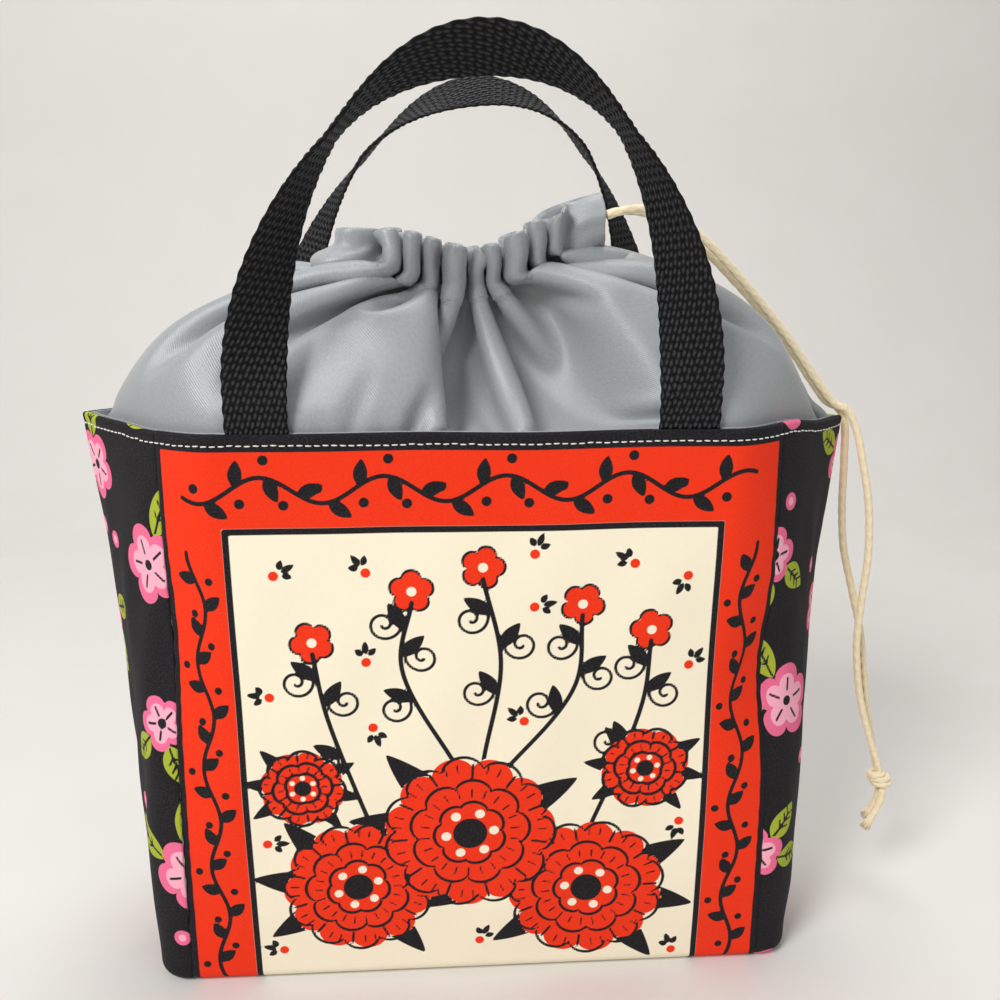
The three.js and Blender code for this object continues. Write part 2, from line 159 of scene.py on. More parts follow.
def shell_faces(columns, rows, step=1):
    """Faces of a closed skin between an outer grid and an inner grid that has every step-th point of it."""
    outer = np.arange(columns * rows).reshape(columns, rows)
    few = ((columns - 1) // step + 1, (rows - 1) // step + 1)
    inner = columns * rows + np.arange(few[0] * few[1]).reshape(few)
    faces = quads(outer) + quads(inner[::-1])

    def rim(fine, coarse):
        for k in range(len(coarse) - 1):
            part = fine[k * step:(k + 1) * step + 1]
            faces.append([*part.tolist(), int(coarse[k + 1]), int(coarse[k])])

    rim(outer[:, -1], inner[:, -1])
    rim(outer[::-1, 0], inner[::-1, 0])
    rim(outer[0], inner[0])
    rim(outer[-1, ::-1], inner[-1, ::-1])
    return faces


def smoothstep(value, low, high):
    t = np.clip((value - low) / (high - low), 0, 1)
    return t * t * (3 - 2 * t)


def unit(vectors):
    """The same directions at length 1."""
    return vectors / np.linalg.norm(vectors, axis=-1)[..., None]


def distance_along(points):
    """How far along a line of points each of them lies."""
    return np.concatenate([[0], np.cumsum(np.linalg.norm(np.diff(points, axis=0), axis=1))])


# Walls of the bag. A station counts round it: 0 front middle, 1 front right seam, 2 right side middle,
# and on round to 8.
class Outline:
    """A plan outline, from the middle of the front to the middle of the right side."""

    def __init__(self, x, y):
        self.x, self.y = x, y
        self.along = np.concatenate([[0], np.cumsum(np.hypot(np.diff(x), np.diff(y)))])

    def at(self, station):
        turn = np.mod(station, 8)
        half = np.minimum(turn, 8 - turn)
        place = np.minimum(half, 4 - half)
        rest = self.along[-1] - SEAM
        along = np.where(place < 1, place * SEAM, SEAM + (place - 1) * rest)
        x = np.interp(along, self.along, self.x)
        y = np.interp(along, self.along, self.y)
        return np.where(turn > 4, -x, x), np.where(half > 2, -y, y)


def rim_outline():
    t = np.linspace(0, 1, 200)
    tip = RIM_HALF_LENGTH - RIM_TIP_RUN
    x = RIM_FLAT * (1 - t) ** 2 + 2 * tip * t * (1 - t) + RIM_HALF_LENGTH * t ** 2
    y = -RIM_HALF_DEPTH * (1 - t ** 2)
    return Outline(np.concatenate([[0], x]), np.concatenate([[-RIM_HALF_DEPTH], y]))


def base_outline():
    t = np.linspace(0, math.pi / 2, 60)
    x = BASE_HALF_LENGTH - BASE_CORNER * (1 - np.sin(t))
    y = -BASE_HALF_DEPTH + BASE_CORNER * (1 - np.cos(t))
    return Outline(np.concatenate([[0], x, [BASE_HALF_LENGTH]]), np.concatenate([[y[0]], y, [0]]))


RIM = rim_outline()
BASE = base_outline()
EDGE_ARC = EDGE_RADIUS * math.pi / 2
WALL_TOP = EDGE_ARC + HEIGHT - EDGE_RADIUS
STITCH_DROP = 3.8


def near(station, middle, width):
    """A bell round a station, 1 at its middle."""
    apart = np.mod(station - middle + 4, 8) - 4
    return np.exp(-((apart / width) ** 2))


# Heights where a wall comes free of the base, and where the sewn rim holds it again
FREE_FROM, HELD_FROM = (4, 30), (150, 200)
# Swells and dents: station, its width, height, spread in height, and how far out
SWELLS = [(2, 0.8, 62, 62, 5.2), (6, 0.8, 62, 62, 3.6), (1.02, 0.3, 118, 30, -5.5), (7, 0.25, 128, 40, -2.2)]
BELLY, BELLY_WIDTH = 1.6, 0.75
# Ripples: how far out, then two crossing waves, each by its turn a station, turn a millimetre and start
RIPPLES = [(0.5, 9.3, 0.035, 0, 1.3, 0.031, 0.6), (0.35, 17, -0.06, 1, 2.1, 0.045, 0)]
PUCKER, PUCKER_REACH = 0.22, 7
GROOVE, GROOVE_WIDTH = 0.22, 0.9


def bulge(station, z):
    """How far the soft wall stands out from its straight line."""
    free = smoothstep(z, *FREE_FROM) * (1 - smoothstep(z, *HELD_FROM))
    swell = sum(reach * near(station, at, width) * np.exp(-((z - height) / spread) ** 2)
                for at, width, height, spread, reach in SWELLS)
    belly = BELLY * sum(near(station, at, BELLY_WIDTH) for at in (0, 4))
    belly = belly * np.sin(math.pi * np.clip(z / HEIGHT, 0, 1))
    waves = sum(reach * np.sin(a * station + b * z + c) * np.sin(d * station + e * z + f)
                for reach, a, b, c, d, e, f in RIPPLES)
    seam = np.abs(np.mod(station, 2) - 1) * SEAM
    pucker = PUCKER * np.exp(-seam / PUCKER_REACH) * np.sin(z * 0.62 + 2 * np.sin(z * 0.11) + station)
    groove = GROOVE * np.exp(-((z - HEIGHT + STITCH_DROP) / GROOVE_WIDTH) ** 2)
    return free * (swell + belly + waves + pucker) - groove


def sag(station, z):
    """How far the rim dips: at its worn right tip, and in soft waves all round."""
    share = np.clip(z / HEIGHT, 0, 1.1) ** 3
    tip = 0.5 + 0.5 * np.cos(math.pi * np.minimum(np.abs(np.mod(station, 8) - 2), 1))
    return share * (RIM_DIP * tip + 0.4 * np.sin(7 * station + 0.4) * np.sin(2.3 * station + 1.1) + 0.2)


def place(station, inset, z):
    """Points of the wall at a height, moved inwards from its outer face."""
    station, inset, z = np.broadcast_arrays(station, inset, z)

    def plan(at):
        low, high = BASE.at(at), RIM.at(at)
        share = z / HEIGHT
        return [a + (b - a) * share for a, b in zip(low, high)]

    step = 0.004
    x, y = plan(station)
    before, after = plan(station - step), plan(station + step)
    run = [b - a for a, b in zip(before, after)]
    length = np.hypot(*run)
    inwards = inset - bulge(station, z)
    x = x - run[1] / length * inwards
    y = y + run[0] / length * inwards
    return np.stack([x, y, z - sag(station, z)], -1)


def wall_points(station, climb, depth):
    """Points of a layer: climb runs up the outer cloth from under the base edge."""
    station, climb, depth = np.broadcast_arrays(station, climb, depth)
    angle = np.clip(climb / EDGE_ARC, 0, 1) * math.pi / 2
    radius = EDGE_RADIUS - depth
    turned = climb < EDGE_ARC
    inset = np.where(turned, EDGE_RADIUS - radius * np.sin(angle), depth)
    z = np.where(turned, EDGE_RADIUS - radius * np.cos(angle), climb - EDGE_ARC + EDGE_RADIUS)
    return place(station, inset, z)


WALLS = {
    "front": (0, SEAM),
    "right_side": (2, RIM.along[-1] - SEAM),
    "back": (4, SEAM),
    "left_side": (6, RIM.along[-1] - SEAM),
}
ROLL_ROWS = 7
ROLL_TURN = 0.9 * math.pi
SEAM_GAP = 0.01
SEAM_DIVE = 0.5
DIVE_WIDTH = 1.8


def sewn_hem(station):
    """Depth of the folded rim: full between the handles, and thin where the webbing passes through it."""
    x = RIM.at(station)[0]
    side = np.mod(station + 1, 4) > 2
    clear = np.abs(np.abs(x) - HANDLE_HALF) - WEB_WIDTH / 2
    open_rim = np.maximum(smoothstep(clear, 0.6, 3.5), side)
    return HEM_AT_WEBBING + (SEWN_HEM - HEM_AT_WEBBING) * open_rim


def layer(name, wall, face, thickness, top, columns, rows, step, material, hem=None, inks=None):
    """One layer of a wall as a closed piece of cloth, with a rolled edge on top."""
    middle, half = WALLS[wall]
    across = np.linspace(SEAM_GAP - half, half - SEAM_GAP, columns)[:, None]
    station = middle + across / half
    edge = half - np.abs(across)
    dive = SEAM_DIVE * thickness * np.clip(1 - edge / DIVE_WIDTH, 0, 1) ** 2
    folded = np.full(station.shape, thickness) if hem is None else hem(station)
    roll = folded / 2
    full = EDGE_ARC + top - EDGE_RADIUS - roll
    climb = np.linspace(0, 1, rows - ROLL_ROWS)[None] * full
    turn = np.linspace(0, ROLL_TURN, ROLL_ROWS + 1)[None, 1:]
    walls = wall_points(station, climb, face + dive)
    rolled_in = face + dive + (roll - dive / 2) * (1 - np.cos(turn))
    rolled = place(station, rolled_in, top - roll + roll * np.sin(turn))
    outer = np.concatenate([walls, rolled], 1)
    coarse = slice(None, None, step)
    few = (rows - 1) // step + 1
    inner_climb = np.linspace(0, 1, few)[None] * (full - 0.5 * roll)[coarse]
    fold = smoothstep(inner_climb, WALL_TOP - HEM - 2, WALL_TOP - HEM + 2)
    inner = wall_points(station[coarse], inner_climb, face + thickness + (folded[coarse] - thickness) * fold)
    heights = np.concatenate([climb, np.repeat(full, ROLL_ROWS, 1) + roll * turn], 1)
    flat_outer = np.stack(np.broadcast_arrays(across, heights), -1)
    flat_inner = np.stack(np.broadcast_arrays(across[coarse], inner_climb), -1)
    points = np.concatenate([outer.reshape(-1, 3), inner.reshape(-1, 3)])
    uv = np.concatenate([flat_outer.reshape(-1, 2), flat_inner.reshape(-1, 2)])
    values = None if inks is None else inks(uv[:, 0], uv[:, 1] - EDGE_ARC + EDGE_RADIUS)
    piece = add_mesh(name, points, shell_faces(columns, rows, step), material, uv, values)
    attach(piece, "bag")
    return piece


BASE_PUFF = 0.12
BASE_MIDDLE = 0.06


def base_layer(name, face, thickness, material):
    """A flat layer of the base: a few rings of points inside its outline, on both faces."""
    count, rings = 144, 12
    station = np.arange(count) * 8 / count
    outline = place(station, EDGE_RADIUS + SEAM_GAP, 0 * station)[:, :2]
    share = np.linspace(1, BASE_MIDDLE, rings)[:, None, None]
    ring = outline[None] * share
    puff = BASE_PUFF * np.sin(ring[..., 0] * 0.09) * np.sin(ring[..., 1] * 0.13)
    puff = puff * (1 - share[..., 0] ** 4)
    low = np.dstack([ring, face + np.maximum(puff, 0)])
    high = np.dstack([ring, face + thickness + puff])
    points = np.concatenate([low.reshape(-1, 3), high.reshape(-1, 3)])
    ids = closed_rings(rings, count)
    top = ids + rings * count
    faces = quads(ids) + quads(top[::-1]) + quads(np.stack([top[0], ids[0]]))
    faces += [ids[-1, :-1][::-1].tolist(), top[-1, :-1].tolist()]
    piece = add_mesh(name, points, faces, material, points[:, :2])
    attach(piece, "bag")
    return piece


# Materials
INK_BLUR = 0.14


class Look:
    """A material and a short way to write its nodes."""

    def __init__(self, name, roughness, **settings):
        self.material = bpy.data.materials.new(name)
        self.material.use_nodes = True
        self.tree = self.material.node_tree
        self.shader = self.tree.nodes["Principled BSDF"]
        self.shader.inputs["Roughness"].default_value = roughness
        for key, value in settings.items():
            self.shader.inputs[key.replace("_", " ")].default_value = value

    def node(self, kind, inputs, output=0, **settings):
        made = self.tree.nodes.new(kind)
        for key, value in settings.items():
            setattr(made, key, value)
        for key, value in inputs.items():
            if isinstance(value, bpy.types.NodeSocket):
                self.tree.links.new(value, made.inputs[key])
            else:
                made.inputs[key].default_value = value
        return made.outputs[output]

    def math(self, operation, *values):
        return self.node("ShaderNodeMath", dict(enumerate(values)), operation=operation)

    def mix(self, share, first, second):
        return self.node("ShaderNodeMix", {0: share, 6: first, 7: second}, output=2, data_type="RGBA")

    def value(self, name):
        return self.node("ShaderNodeAttribute", {}, output=2, attribute_name=name)

    def ink(self, name):
        edge = {0: self.value(name), 1: INK_BLUR, 2: -INK_BLUR, 3: 0.0, 4: 1.0}
        return self.node("ShaderNodeMapRange", edge)

    def cloth_axes(self):
        flat = self.node("ShaderNodeUVMap", {}, uv_map="cloth")
        split = self.tree.nodes.new("ShaderNodeSeparateXYZ")
        self.tree.links.new(flat, split.inputs[0])
        return flat, split.outputs[0], split.outputs[1]

    def wave(self, along, period):
        return self.math("SINE", self.math("MULTIPLY", along, 2 * math.pi / period))

    def noise(self, place, scale, detail):
        return self.node("ShaderNodeTexNoise", {"Vector": place, "Scale": scale, "Detail": detail})

    def bump(self, height, strength, distance):
        inputs = {"Height": height, "Strength": strength, "Distance": distance * MM}
        made = self.node("ShaderNodeBump", inputs)
        self.tree.links.new(made, self.shader.inputs["Normal"])

    def coloured(self, value):
        self.tree.links.new(value, self.shader.inputs["Base Color"])
        return self.material


def rgb(red, green, blue):
    """A colour written as it looks on screen, from 0 to 255."""
    share = [value / 255 for value in (red, green, blue)]
    linear = [((v + 0.055) / 1.055) ** 2.4 if v > 0.04045 else v / 12.92 for v in share]
    return (*linear, 1)


CREAM = rgb(252, 242, 216)
RED = rgb(244, 52, 12)
BLACK = rgb(24, 22, 26)
PINK = rgb(240, 110, 150)
PALE_PINK = rgb(250, 176, 196)
LEAF = rgb(168, 180, 52)
WORN = rgb(235, 225, 215)
COTTON_THREAD = 0.72
THREAD_GRAIN = 2500


def plain_weave(look):
    """Crossing cotton threads, from the flat cloth's own millimetres, with uneven thickness."""
    flat, across, up = look.cloth_axes()
    over = look.math("MULTIPLY", look.wave(across, COTTON_THREAD), look.wave(up, COTTON_THREAD))
    slub = look.noise(flat, 1.4, 3.0)
    look.bump(look.math("MULTIPLY_ADD", slub, 1.2, over), 0.35, 0.1)
    return flat, slub


def printed_cotton(name, ground, inks):
    look = Look(name, 0.85, Sheen_Weight=0.03, Specular_IOR_Level=0.2)
    flat, slub = plain_weave(look)
    colour = ground
    for attribute, ink in inks:
        colour = look.mix(look.ink(attribute), colour, ink)
    cloudy = look.noise(flat, 0.06, 3.0)
    worn = look.math("MULTIPLY", look.math("SUBTRACT", slub, 0.45), 0.16)
    worn = look.math("MULTIPLY", worn, cloudy)
    return look.coloured(look.mix(look.math("MAXIMUM", worn, 0.0), colour, WORN))


def plain_cotton(name, dark, light):
    look = Look(name, 0.9, Sheen_Weight=0.05, Specular_IOR_Level=0.2)
    slub = plain_weave(look)[1]
    return look.coloured(look.mix(slub, dark, light))


def twill_sateen(name, dark, light):
    """Fine twill lines and a soft sheen."""
    look = Look(name, 0.38, Sheen_Weight=0.2, Sheen_Roughness=0.35, Specular_IOR_Level=0.75)
    flat, across, up = look.cloth_axes()
    rib = look.wave(look.math("ADD", across, up), 0.95)
    cross = look.wave(look.math("SUBTRACT", across, up), 0.5)
    slub = look.noise(flat, 0.9, 3.0)
    look.bump(look.math("ADD", look.math("MULTIPLY_ADD", cross, 0.35, rib), slub), 0.3, 0.08)
    return look.coloured(look.mix(slub, dark, light))


def fuzzy_yarn(name, dark, light, scale, detail, strength, depth, roughness, **settings):
    """Loose fibres with no weave to see."""
    look = Look(name, roughness, **settings)
    fibre = look.noise(look.cloth_axes()[0], scale, detail)
    look.bump(fibre, strength, depth)
    return look.coloured(look.mix(fibre, dark, light))


def webbing_yarn(name, dark, light):
    """Fine fibres along each bump, a dull sheen, and painted highlights on the bumps with painted shade in
    the gaps between them.
    """
    look = Look(name, 0.4, Sheen_Weight=0.02, Specular_IOR_Level=0.17)
    flat, across, up = look.cloth_axes()
    fibre = look.wave(look.math("MULTIPLY_ADD", up, 0.45, across), 0.34)
    fuzz = look.noise(flat, 2.2, 3.0)
    look.bump(look.math("ADD", fibre, fuzz), 0.3, 0.05)
    # Painted light: the colour turns light on each bump's crown as a painted highlight and dark in the gaps
    # as painted shade.
    crown_highlight = look.math("POWER", look.value("crown"), 3.0)
    painted_light = look.math("MULTIPLY", crown_highlight, look.math("ADD", fuzz, 0.35))
    return look.coloured(look.mix(painted_light, dark, light))


def grained(name, dark, light, scale, detail, roughness, **settings):
    """A plain look with a little grain, by its place on the object."""
    look = Look(name, roughness, **settings)
    grain = look.noise(look.node("ShaderNodeTexCoord", {}, output=3), scale, detail)
    return look.coloured(look.mix(grain, dark, light))


front_cotton = printed_cotton("printed_cotton", CREAM, [
    ("red_ink", RED), ("black_ink", BLACK), ("light_ink", CREAM)])
floral_cotton = printed_cotton("floral_cotton", BLACK, [
    ("green_ink", LEAF), ("pink_ink", PINK), ("pale_ink", PALE_PINK), ("line_ink", BLACK)])
black_cotton = plain_cotton("black_cotton", rgb(20, 19, 22), rgb(34, 32, 36))
fleece = fuzzy_yarn("fleece", rgb(222, 217, 204), rgb(244, 241, 233), 1.1, 5.0, 0.6, 0.4, 0.95)
sateen = twill_sateen("grey_sateen", rgb(145, 149, 152), rgb(170, 174, 176))
# The webbing's light colour is a painted highlight on its bumps, its dark colour painted shade in the gaps.
webbing = webbing_yarn("webbing", rgb(3, 3, 4), rgb(66, 66, 70))
cotton_cord = fuzzy_yarn("cotton_cord", rgb(236, 212, 162), rgb(254, 243, 216), 1.6, 4.0, 0.4, 0.12, 0.85,
                         Sheen_Weight=0.3, Sheen_Roughness=0.5)
white_thread = grained(
    "white_thread", rgb(214, 210, 204), rgb(248, 246, 240), THREAD_GRAIN, 2.0, 0.6, Sheen_Weight=0.2)
grey_thread = grained(
    "grey_thread", rgb(128, 132, 140), rgb(176, 180, 188), THREAD_GRAIN, 2.0, 0.6, Sheen_Weight=0.2)


# Cords. Their routes are the frame's, but the lower strands cross and hang as the real ones do.
STRANDS = {
    "front": (
        [(46.6, -9, 277.4), (56, -8, 279.6), (68, -5.6, 278), (81, -3.2, 270.4), (99, -1, 253.6),
         (117, 0, 233.4), (129, 0.8, 217.8), (136.4, 1, 209.5)],
        (140.6, 1, 207.8),
        [(144.4, 0.8, 202.1), (148.6, -0.6, 187), (152.2, -1.6, 169), (153.8, -1.4, 150), (153.4, -0.6, 132),
         (153.6, 0.4, 113), (157.2, 1.4, 91), (163.4, 1.9, 71), (169.6, 2, 54.6)],
    ),
    "back": (
        [(46.6, 9, 277.4), (56, 8.6, 279.2), (68, 7.2, 277), (81, 5.8, 268.8), (99, 4.9, 252),
         (117, 4.6, 232.4), (128, 4.6, 217.8), (134.6, 4.6, 209.8)],
        (138.8, 4.6, 207.8),
        [(142, 4.8, 202.1), (143.6, 5.4, 187), (144.8, 6.2, 169), (147, 6.6, 152), (152, 6.6, 134),
         (157.6, 6.4, 114), (160.8, 5.8, 93), (165, 5.4, 72), (169.6, 5.4, 54.6)],
    ),
}
CORD_ENDS = {
    "front": [(171.8, 2, 44.9), (170.6, 1.3, 39.6), (168.2, 0.5, 34.6), (165.8, 0, 30.8)],
    "back": [(172, 5.4, 44.9), (171.8, 6, 40), (170.4, 6.6, 35), (168.8, 7, 31.4)],
}
KNOT_TOP = np.array([169.7, 3.7, 54.1])
KNOT_AXIS = np.array([0.24, 0, -0.97]) / math.hypot(0.24, 0.97)
KNOT_LENGTH = 9


ROUTE_SPANS = 24


def smooth_route(points, spans=ROUTE_SPANS):
    """A smooth curve through the points, spans steps between each two of them."""
    p = np.array(points, float)
    p = np.concatenate([[2 * p[0] - p[1]], p, [2 * p[-1] - p[-2]]])
    t = np.linspace(0, 1, spans, endpoint=False)[:, None]
    route = []
    for a, b, c, d in zip(p[:-3], p[1:-2], p[2:-1], p[3:]):
        knots = np.cumsum([0] + [math.sqrt(np.linalg.norm(e)) for e in (b - a, c - b, d - c)])
        at = knots[1] + t * (knots[2] - knots[1])

        def blend(first, second, low, high):
            return (first * (knots[high] - at) + second * (at - knots[low])) / (knots[high] - knots[low])

        ab, bc, cd = blend(a, b, 0, 1), blend(b, c, 1, 2), blend(c, d, 2, 3)
        route.append(blend(blend(ab, bc, 0, 2), blend(bc, cd, 1, 3), 1, 2))
    return np.concatenate([*route, p[-2:-1]])


def even(route, spacing):
    """The same route in even steps."""
    along = distance_along(route)
    count = max(int(round(along[-1] / spacing)), 2)
    at = np.linspace(0, along[-1], count + 1)
    return np.stack([np.interp(at, along, route[:, k]) for k in range(3)], 1)


def route_frames(route):
    """Two directions square to a route at each of its points, without twist."""
    tangent = unit(np.gradient(route, axis=0))
    side = np.cross(tangent[0], [0.3, 0.9, 0.2])
    sides = []
    for direction in tangent:
        side = unit(side - direction * (side @ direction))
        sides.append(side)
    first = np.array(sides)
    return first, np.cross(tangent, first)


BRAID_STEP = 0.45
BRAID_SIDES = 24
BRAID_YARNS = 4
BRAID_PITCH = 5.2
BRAID_DEPTH = 0.3


def cord_tube(name, route):
    """A braided cord: two sets of yarns that cross as they wind round it."""
    route = even(route, BRAID_STEP)
    first, second = route_frames(route)
    along = np.arange(len(route))[:, None] * BRAID_STEP
    angle = np.arange(BRAID_SIDES)[None] * 2 * math.pi / BRAID_SIDES
    wind = 2 * math.pi * along / BRAID_PITCH
    yarns = np.maximum(np.cos(BRAID_YARNS * angle + wind), np.cos(BRAID_YARNS * angle - wind + math.pi / 2))
    radius = CORD / 2 - BRAID_DEPTH * (1 - yarns) / 2
    ring = first[:, None] * np.cos(angle)[..., None] + second[:, None] * np.sin(angle)[..., None]
    points = route[:, None] + ring * radius[..., None]
    uv = np.stack(np.broadcast_arrays(angle * CORD / 2, along), -1).reshape(-1, 2)
    faces = tube_faces(len(route), BRAID_SIDES)
    return add_mesh(name, points.reshape(-1, 3), faces, cotton_cord, uv), route


FRAY_FIBRES = 130
FRAY_ROOT = 1.2
FRAY_LENGTH = (2.2, 4.4)
FIBRE_MIDDLE = 0.55
# Half widths of a fibre at its root, its middle and its tip
FIBRE_WIDTHS = (0.24, 0.2, 0.08)
FIBRE_CORNERS = ((1, 0), (-0.5, -0.87), (-0.5, 0.87))


def frayed_end(name, route, rng):
    """Loose fibres at a cut end, each a thin thread of three sides."""
    tip, direction = route[-1], unit(route[-1] - route[-6])
    points, faces = [], []
    for _ in range(FRAY_FIBRES):
        spread = rng.normal(size=3)
        spread = unit(spread - direction * (spread @ direction))
        start = tip - direction * FRAY_ROOT + spread * rng.uniform(0.3, 1.3)
        length = rng.uniform(*FRAY_LENGTH)
        middle = start + direction * length * FIBRE_MIDDLE + spread * rng.uniform(0.1, 0.7)
        end = start + direction * length + spread * rng.uniform(0.2, 1.3)
        across = np.cross(direction, spread)
        faces += [[len(points) + corner for corner in face] for face in tube_faces(3, 3)]
        for centre, wide in zip((start, middle, end), FIBRE_WIDTHS):
            points += [centre + wide * (a * across + b * spread) for a, b in FIBRE_CORNERS]
    points = np.array(points)
    return add_mesh(name, points, faces, cotton_cord, points[:, :2])


KNOT_TURNS = 2.75
KNOT_RADIUS, KNOT_UNEVEN, KNOT_SLANT = 3.3, 0.4, 1.3
# Where the strands go in and the cut ends come out, along the knot
KNOT_ENTRY, KNOT_EXIT = 2.5, 0.6 * KNOT_LENGTH


def knot_route():
    """Almost three turns round the knot's axis, with both ends tucked in."""
    t = np.linspace(0, 1, 150)
    side = np.cross(KNOT_AXIS, [0, 1, 0])
    front = np.cross(KNOT_AXIS, side)
    angle = 2 * math.pi * KNOT_TURNS * t + 0.4
    tucked = np.minimum(1, 6 * np.minimum(t, 1 - t) + 0.25)
    radius = (KNOT_RADIUS + KNOT_UNEVEN * np.sin(0.7 * angle)) * tucked
    lift = CORD / 2 + (KNOT_LENGTH - CORD) * t + KNOT_SLANT * np.cos(angle + 0.5)
    return (KNOT_TOP + KNOT_AXIS * lift[:, None] + side * (radius * np.cos(angle))[:, None]
            + front * (radius * np.sin(angle))[:, None])


def add_cords():
    rng = np.random.default_rng(11)
    knot, _ = cord_tube("cord_knot_turns", knot_route())
    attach(knot, "cord_tail")
    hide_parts("cord_knot")
    on_tail = {"front": [knot], "back": []}
    for name, points in CORD_ENDS.items():
        start = KNOT_TOP + KNOT_AXIS * KNOT_EXIT
        end, route = cord_tube(f"cord_tail_{name}", smooth_route([start, *points]))
        fray = frayed_end(f"cord_fray_{name}", route, rng)
        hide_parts(f"cord_end_{name}")
        for piece in (end, fray):
            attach(piece, "cord_tail")
            on_tail[name].append(piece)
    for name, (inside, rim, outside) in STRANDS.items():
        whole = smooth_route([*inside, rim, *outside])
        cut = ROUTE_SPANS * len(inside)
        upper, upper_route = cord_tube(f"drawstring_upper_{name}", whole[:cut + 1])
        lower_points = np.concatenate([whole[cut:], [KNOT_TOP + KNOT_AXIS * KNOT_ENTRY]])
        lower, lower_route = cord_tube(f"drawstring_lower_{name}", lower_points)
        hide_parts(f"upper_strand_{name}")
        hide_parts(f"lower_strand_{name}")
        start, end, below = (tuple(whole[at] * MM) for at in (0, cut, cut + ROUTE_SPANS))
        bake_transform(upper)
        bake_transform(lower)


add_cords()


# Prints, as distances in millimetres to the edge of each ink, below zero inside it
FIELD_HALF = 81
FIELD_TOP = 176.5
FRAME_LINE = 2.2
BORDER_TOP = 204.3
BORDER_HALF = 104.4
FAR = 60.0
PEN_ROOM = 3


def polar(centre, radius, angle):
    return np.array([centre[0] + radius * math.cos(angle), centre[1] + radius * math.sin(angle)])


class Print:
    """The inks on a piece of cloth and the shapes they are printed in."""

    def __init__(self, x, y, *inks):
        self.x, self.y = x, y
        self.inks = {ink: np.full(x.shape, FAR) for ink in inks}

    def add(self, ink, distance):
        self.inks[ink] = np.minimum(self.inks[ink], distance)

    def clear(self, distance, *inks):
        """Take inks away inside a shape."""
        for ink in inks:
            self.inks[ink] = np.where(distance < 0, FAR, self.inks[ink])

    def disc(self, ink, centre, radius):
        self.add(ink, np.hypot(self.x - centre[0], self.y - centre[1]) - radius)

    def stroke(self, ink, line, half_width):
        """A line of points, drawn with a pen."""
        line = np.array(line, float)
        (left, low), (right, high) = line.min(0) - PEN_ROOM, line.max(0) + PEN_ROOM
        inside = (self.x > left) & (self.x < right) & (self.y > low) & (self.y < high)
        x, y = self.x[inside], self.y[inside]
        best = np.full(x.shape, FAR)
        for (ax, ay), (bx, by) in zip(line[:-1], line[1:]):
            dx, dy = bx - ax, by - ay
            share = np.clip(((x - ax) * dx + (y - ay) * dy) / (dx * dx + dy * dy + 1e-9), 0, 1)
            best = np.minimum(best, np.hypot(x - ax - share * dx, y - ay - share * dy))
        self.inks[ink][inside] = np.minimum(self.inks[ink][inside], best - half_width)

    def leaf(self, ink, base, tip, width):
        """A leaf with a pointed tip."""
        dx, dy = tip[0] - base[0], tip[1] - base[1]
        length = math.hypot(dx, dy)
        along = ((self.x - base[0]) * dx + (self.y - base[1]) * dy) / length
        aside = np.abs((self.y - base[1]) * dx - (self.x - base[0]) * dy) / length
        half = width / 2 * np.sin(math.pi * np.clip(along / length, 0, 1) ** 0.85) ** 0.8
        beyond = np.maximum(np.maximum(-along, along - length), 0)
        self.add(ink, np.hypot(np.maximum(aside - half, 0), beyond) + np.minimum(aside - half, 0))

    def bloom(self, centre, radius, petals, turn, cut):
        """Distance to a round flower with its petals' notches cut in."""
        away = np.hypot(self.x - centre[0], self.y - centre[1])
        angle = np.arctan2(self.y - centre[1], self.x - centre[0]) - turn
        return away - radius * (1 - cut * (1 - np.abs(np.cos(petals * angle / 2)) ** 0.55))


def curl(start, turn, radius, turns, side):
    """Points of a tendril that winds in to its own middle."""
    t = np.linspace(0, 1, 40)
    r = radius * (1 - 0.86 * t)
    angle = turn + side * 2 * math.pi * turns * t
    middle = polar(start, -radius, turn)
    return np.stack([middle[0] + r * np.cos(angle), middle[1] + r * np.sin(angle)], 1)


VINE_SWAY, VINE_BEND = 4.4, 40
# Middle, radius and turn of each large bloom
BLOOMS = [((-44, 40), 27, 0.3), ((40, 36), 29, 0.9), ((-3, 62), 31, 0.1), ((-62, 82), 15, 0.5),
          ((60, 86), 16, 0.2)]
STEMS = [((-8, 90), (-26, 128), (-22, 152)), ((2, 92), (8, 130), (2, 160)), ((10, 88), (34, 120), (36, 146)),
         ((-36, 58), (-52, 110), (-56, 134)), ((38, 56), (58, 112), (60, 136))]
# Place and turn of each sprig
SPRIGS = [(-66, 163, 0.5), (-38, 164, 2.2), (20, 170, 1.2), (52, 165, 2.6), (71, 158, 4.2), (21, 150, 0.2),
          (-38, 132, 1.6), (-73, 118, 3.0), (75, 127, 0.9), (-36, 104, 5.0), (15, 108, 2.4), (1, 16, 1.1),
          (-74, 14, 2.9), (73, 62, 4.4), (-74, 60, 0.0), (73, 8, 1.9)]


def print_vine(cloth):
    """A running vine in the border, with leaves to both sides and a berry in each bend."""
    middle_x = (FIELD_HALF + FRAME_LINE + BORDER_HALF) / 2
    middle_y = (FIELD_TOP + FRAME_LINE + BORDER_TOP) / 2

    def sway(s):
        return VINE_SWAY * math.sin(2 * math.pi * s / VINE_BEND)

    runs = [(lambda s: (s, middle_y + sway(s)), -96, 96, 1)]
    runs += [(lambda s, side=side: (side * (middle_x + 0.6 * sway(s)), s), 2, 172, 0.84) for side in (-1, 1)]
    for point, first, last, size in runs:
        cloth.stroke("black_ink", [point(s) for s in np.arange(first, last, 2.0)], 0.75)
        for number, s in enumerate(np.arange(first + 8, last - 4, VINE_BEND / 4)):
            base, ahead = np.array(point(s)), np.array(point(s + 1.5))
            run = unit(ahead - base)
            aside = np.array([-run[1], run[0]]) * (1 if number % 2 else -1)
            cloth.leaf("black_ink", base, base + size * (5.6 * run + 7 * aside), 4.6)
            cloth.disc("black_ink", base - size * (2.0 * run + 5.6 * aside), 1.7 * size)


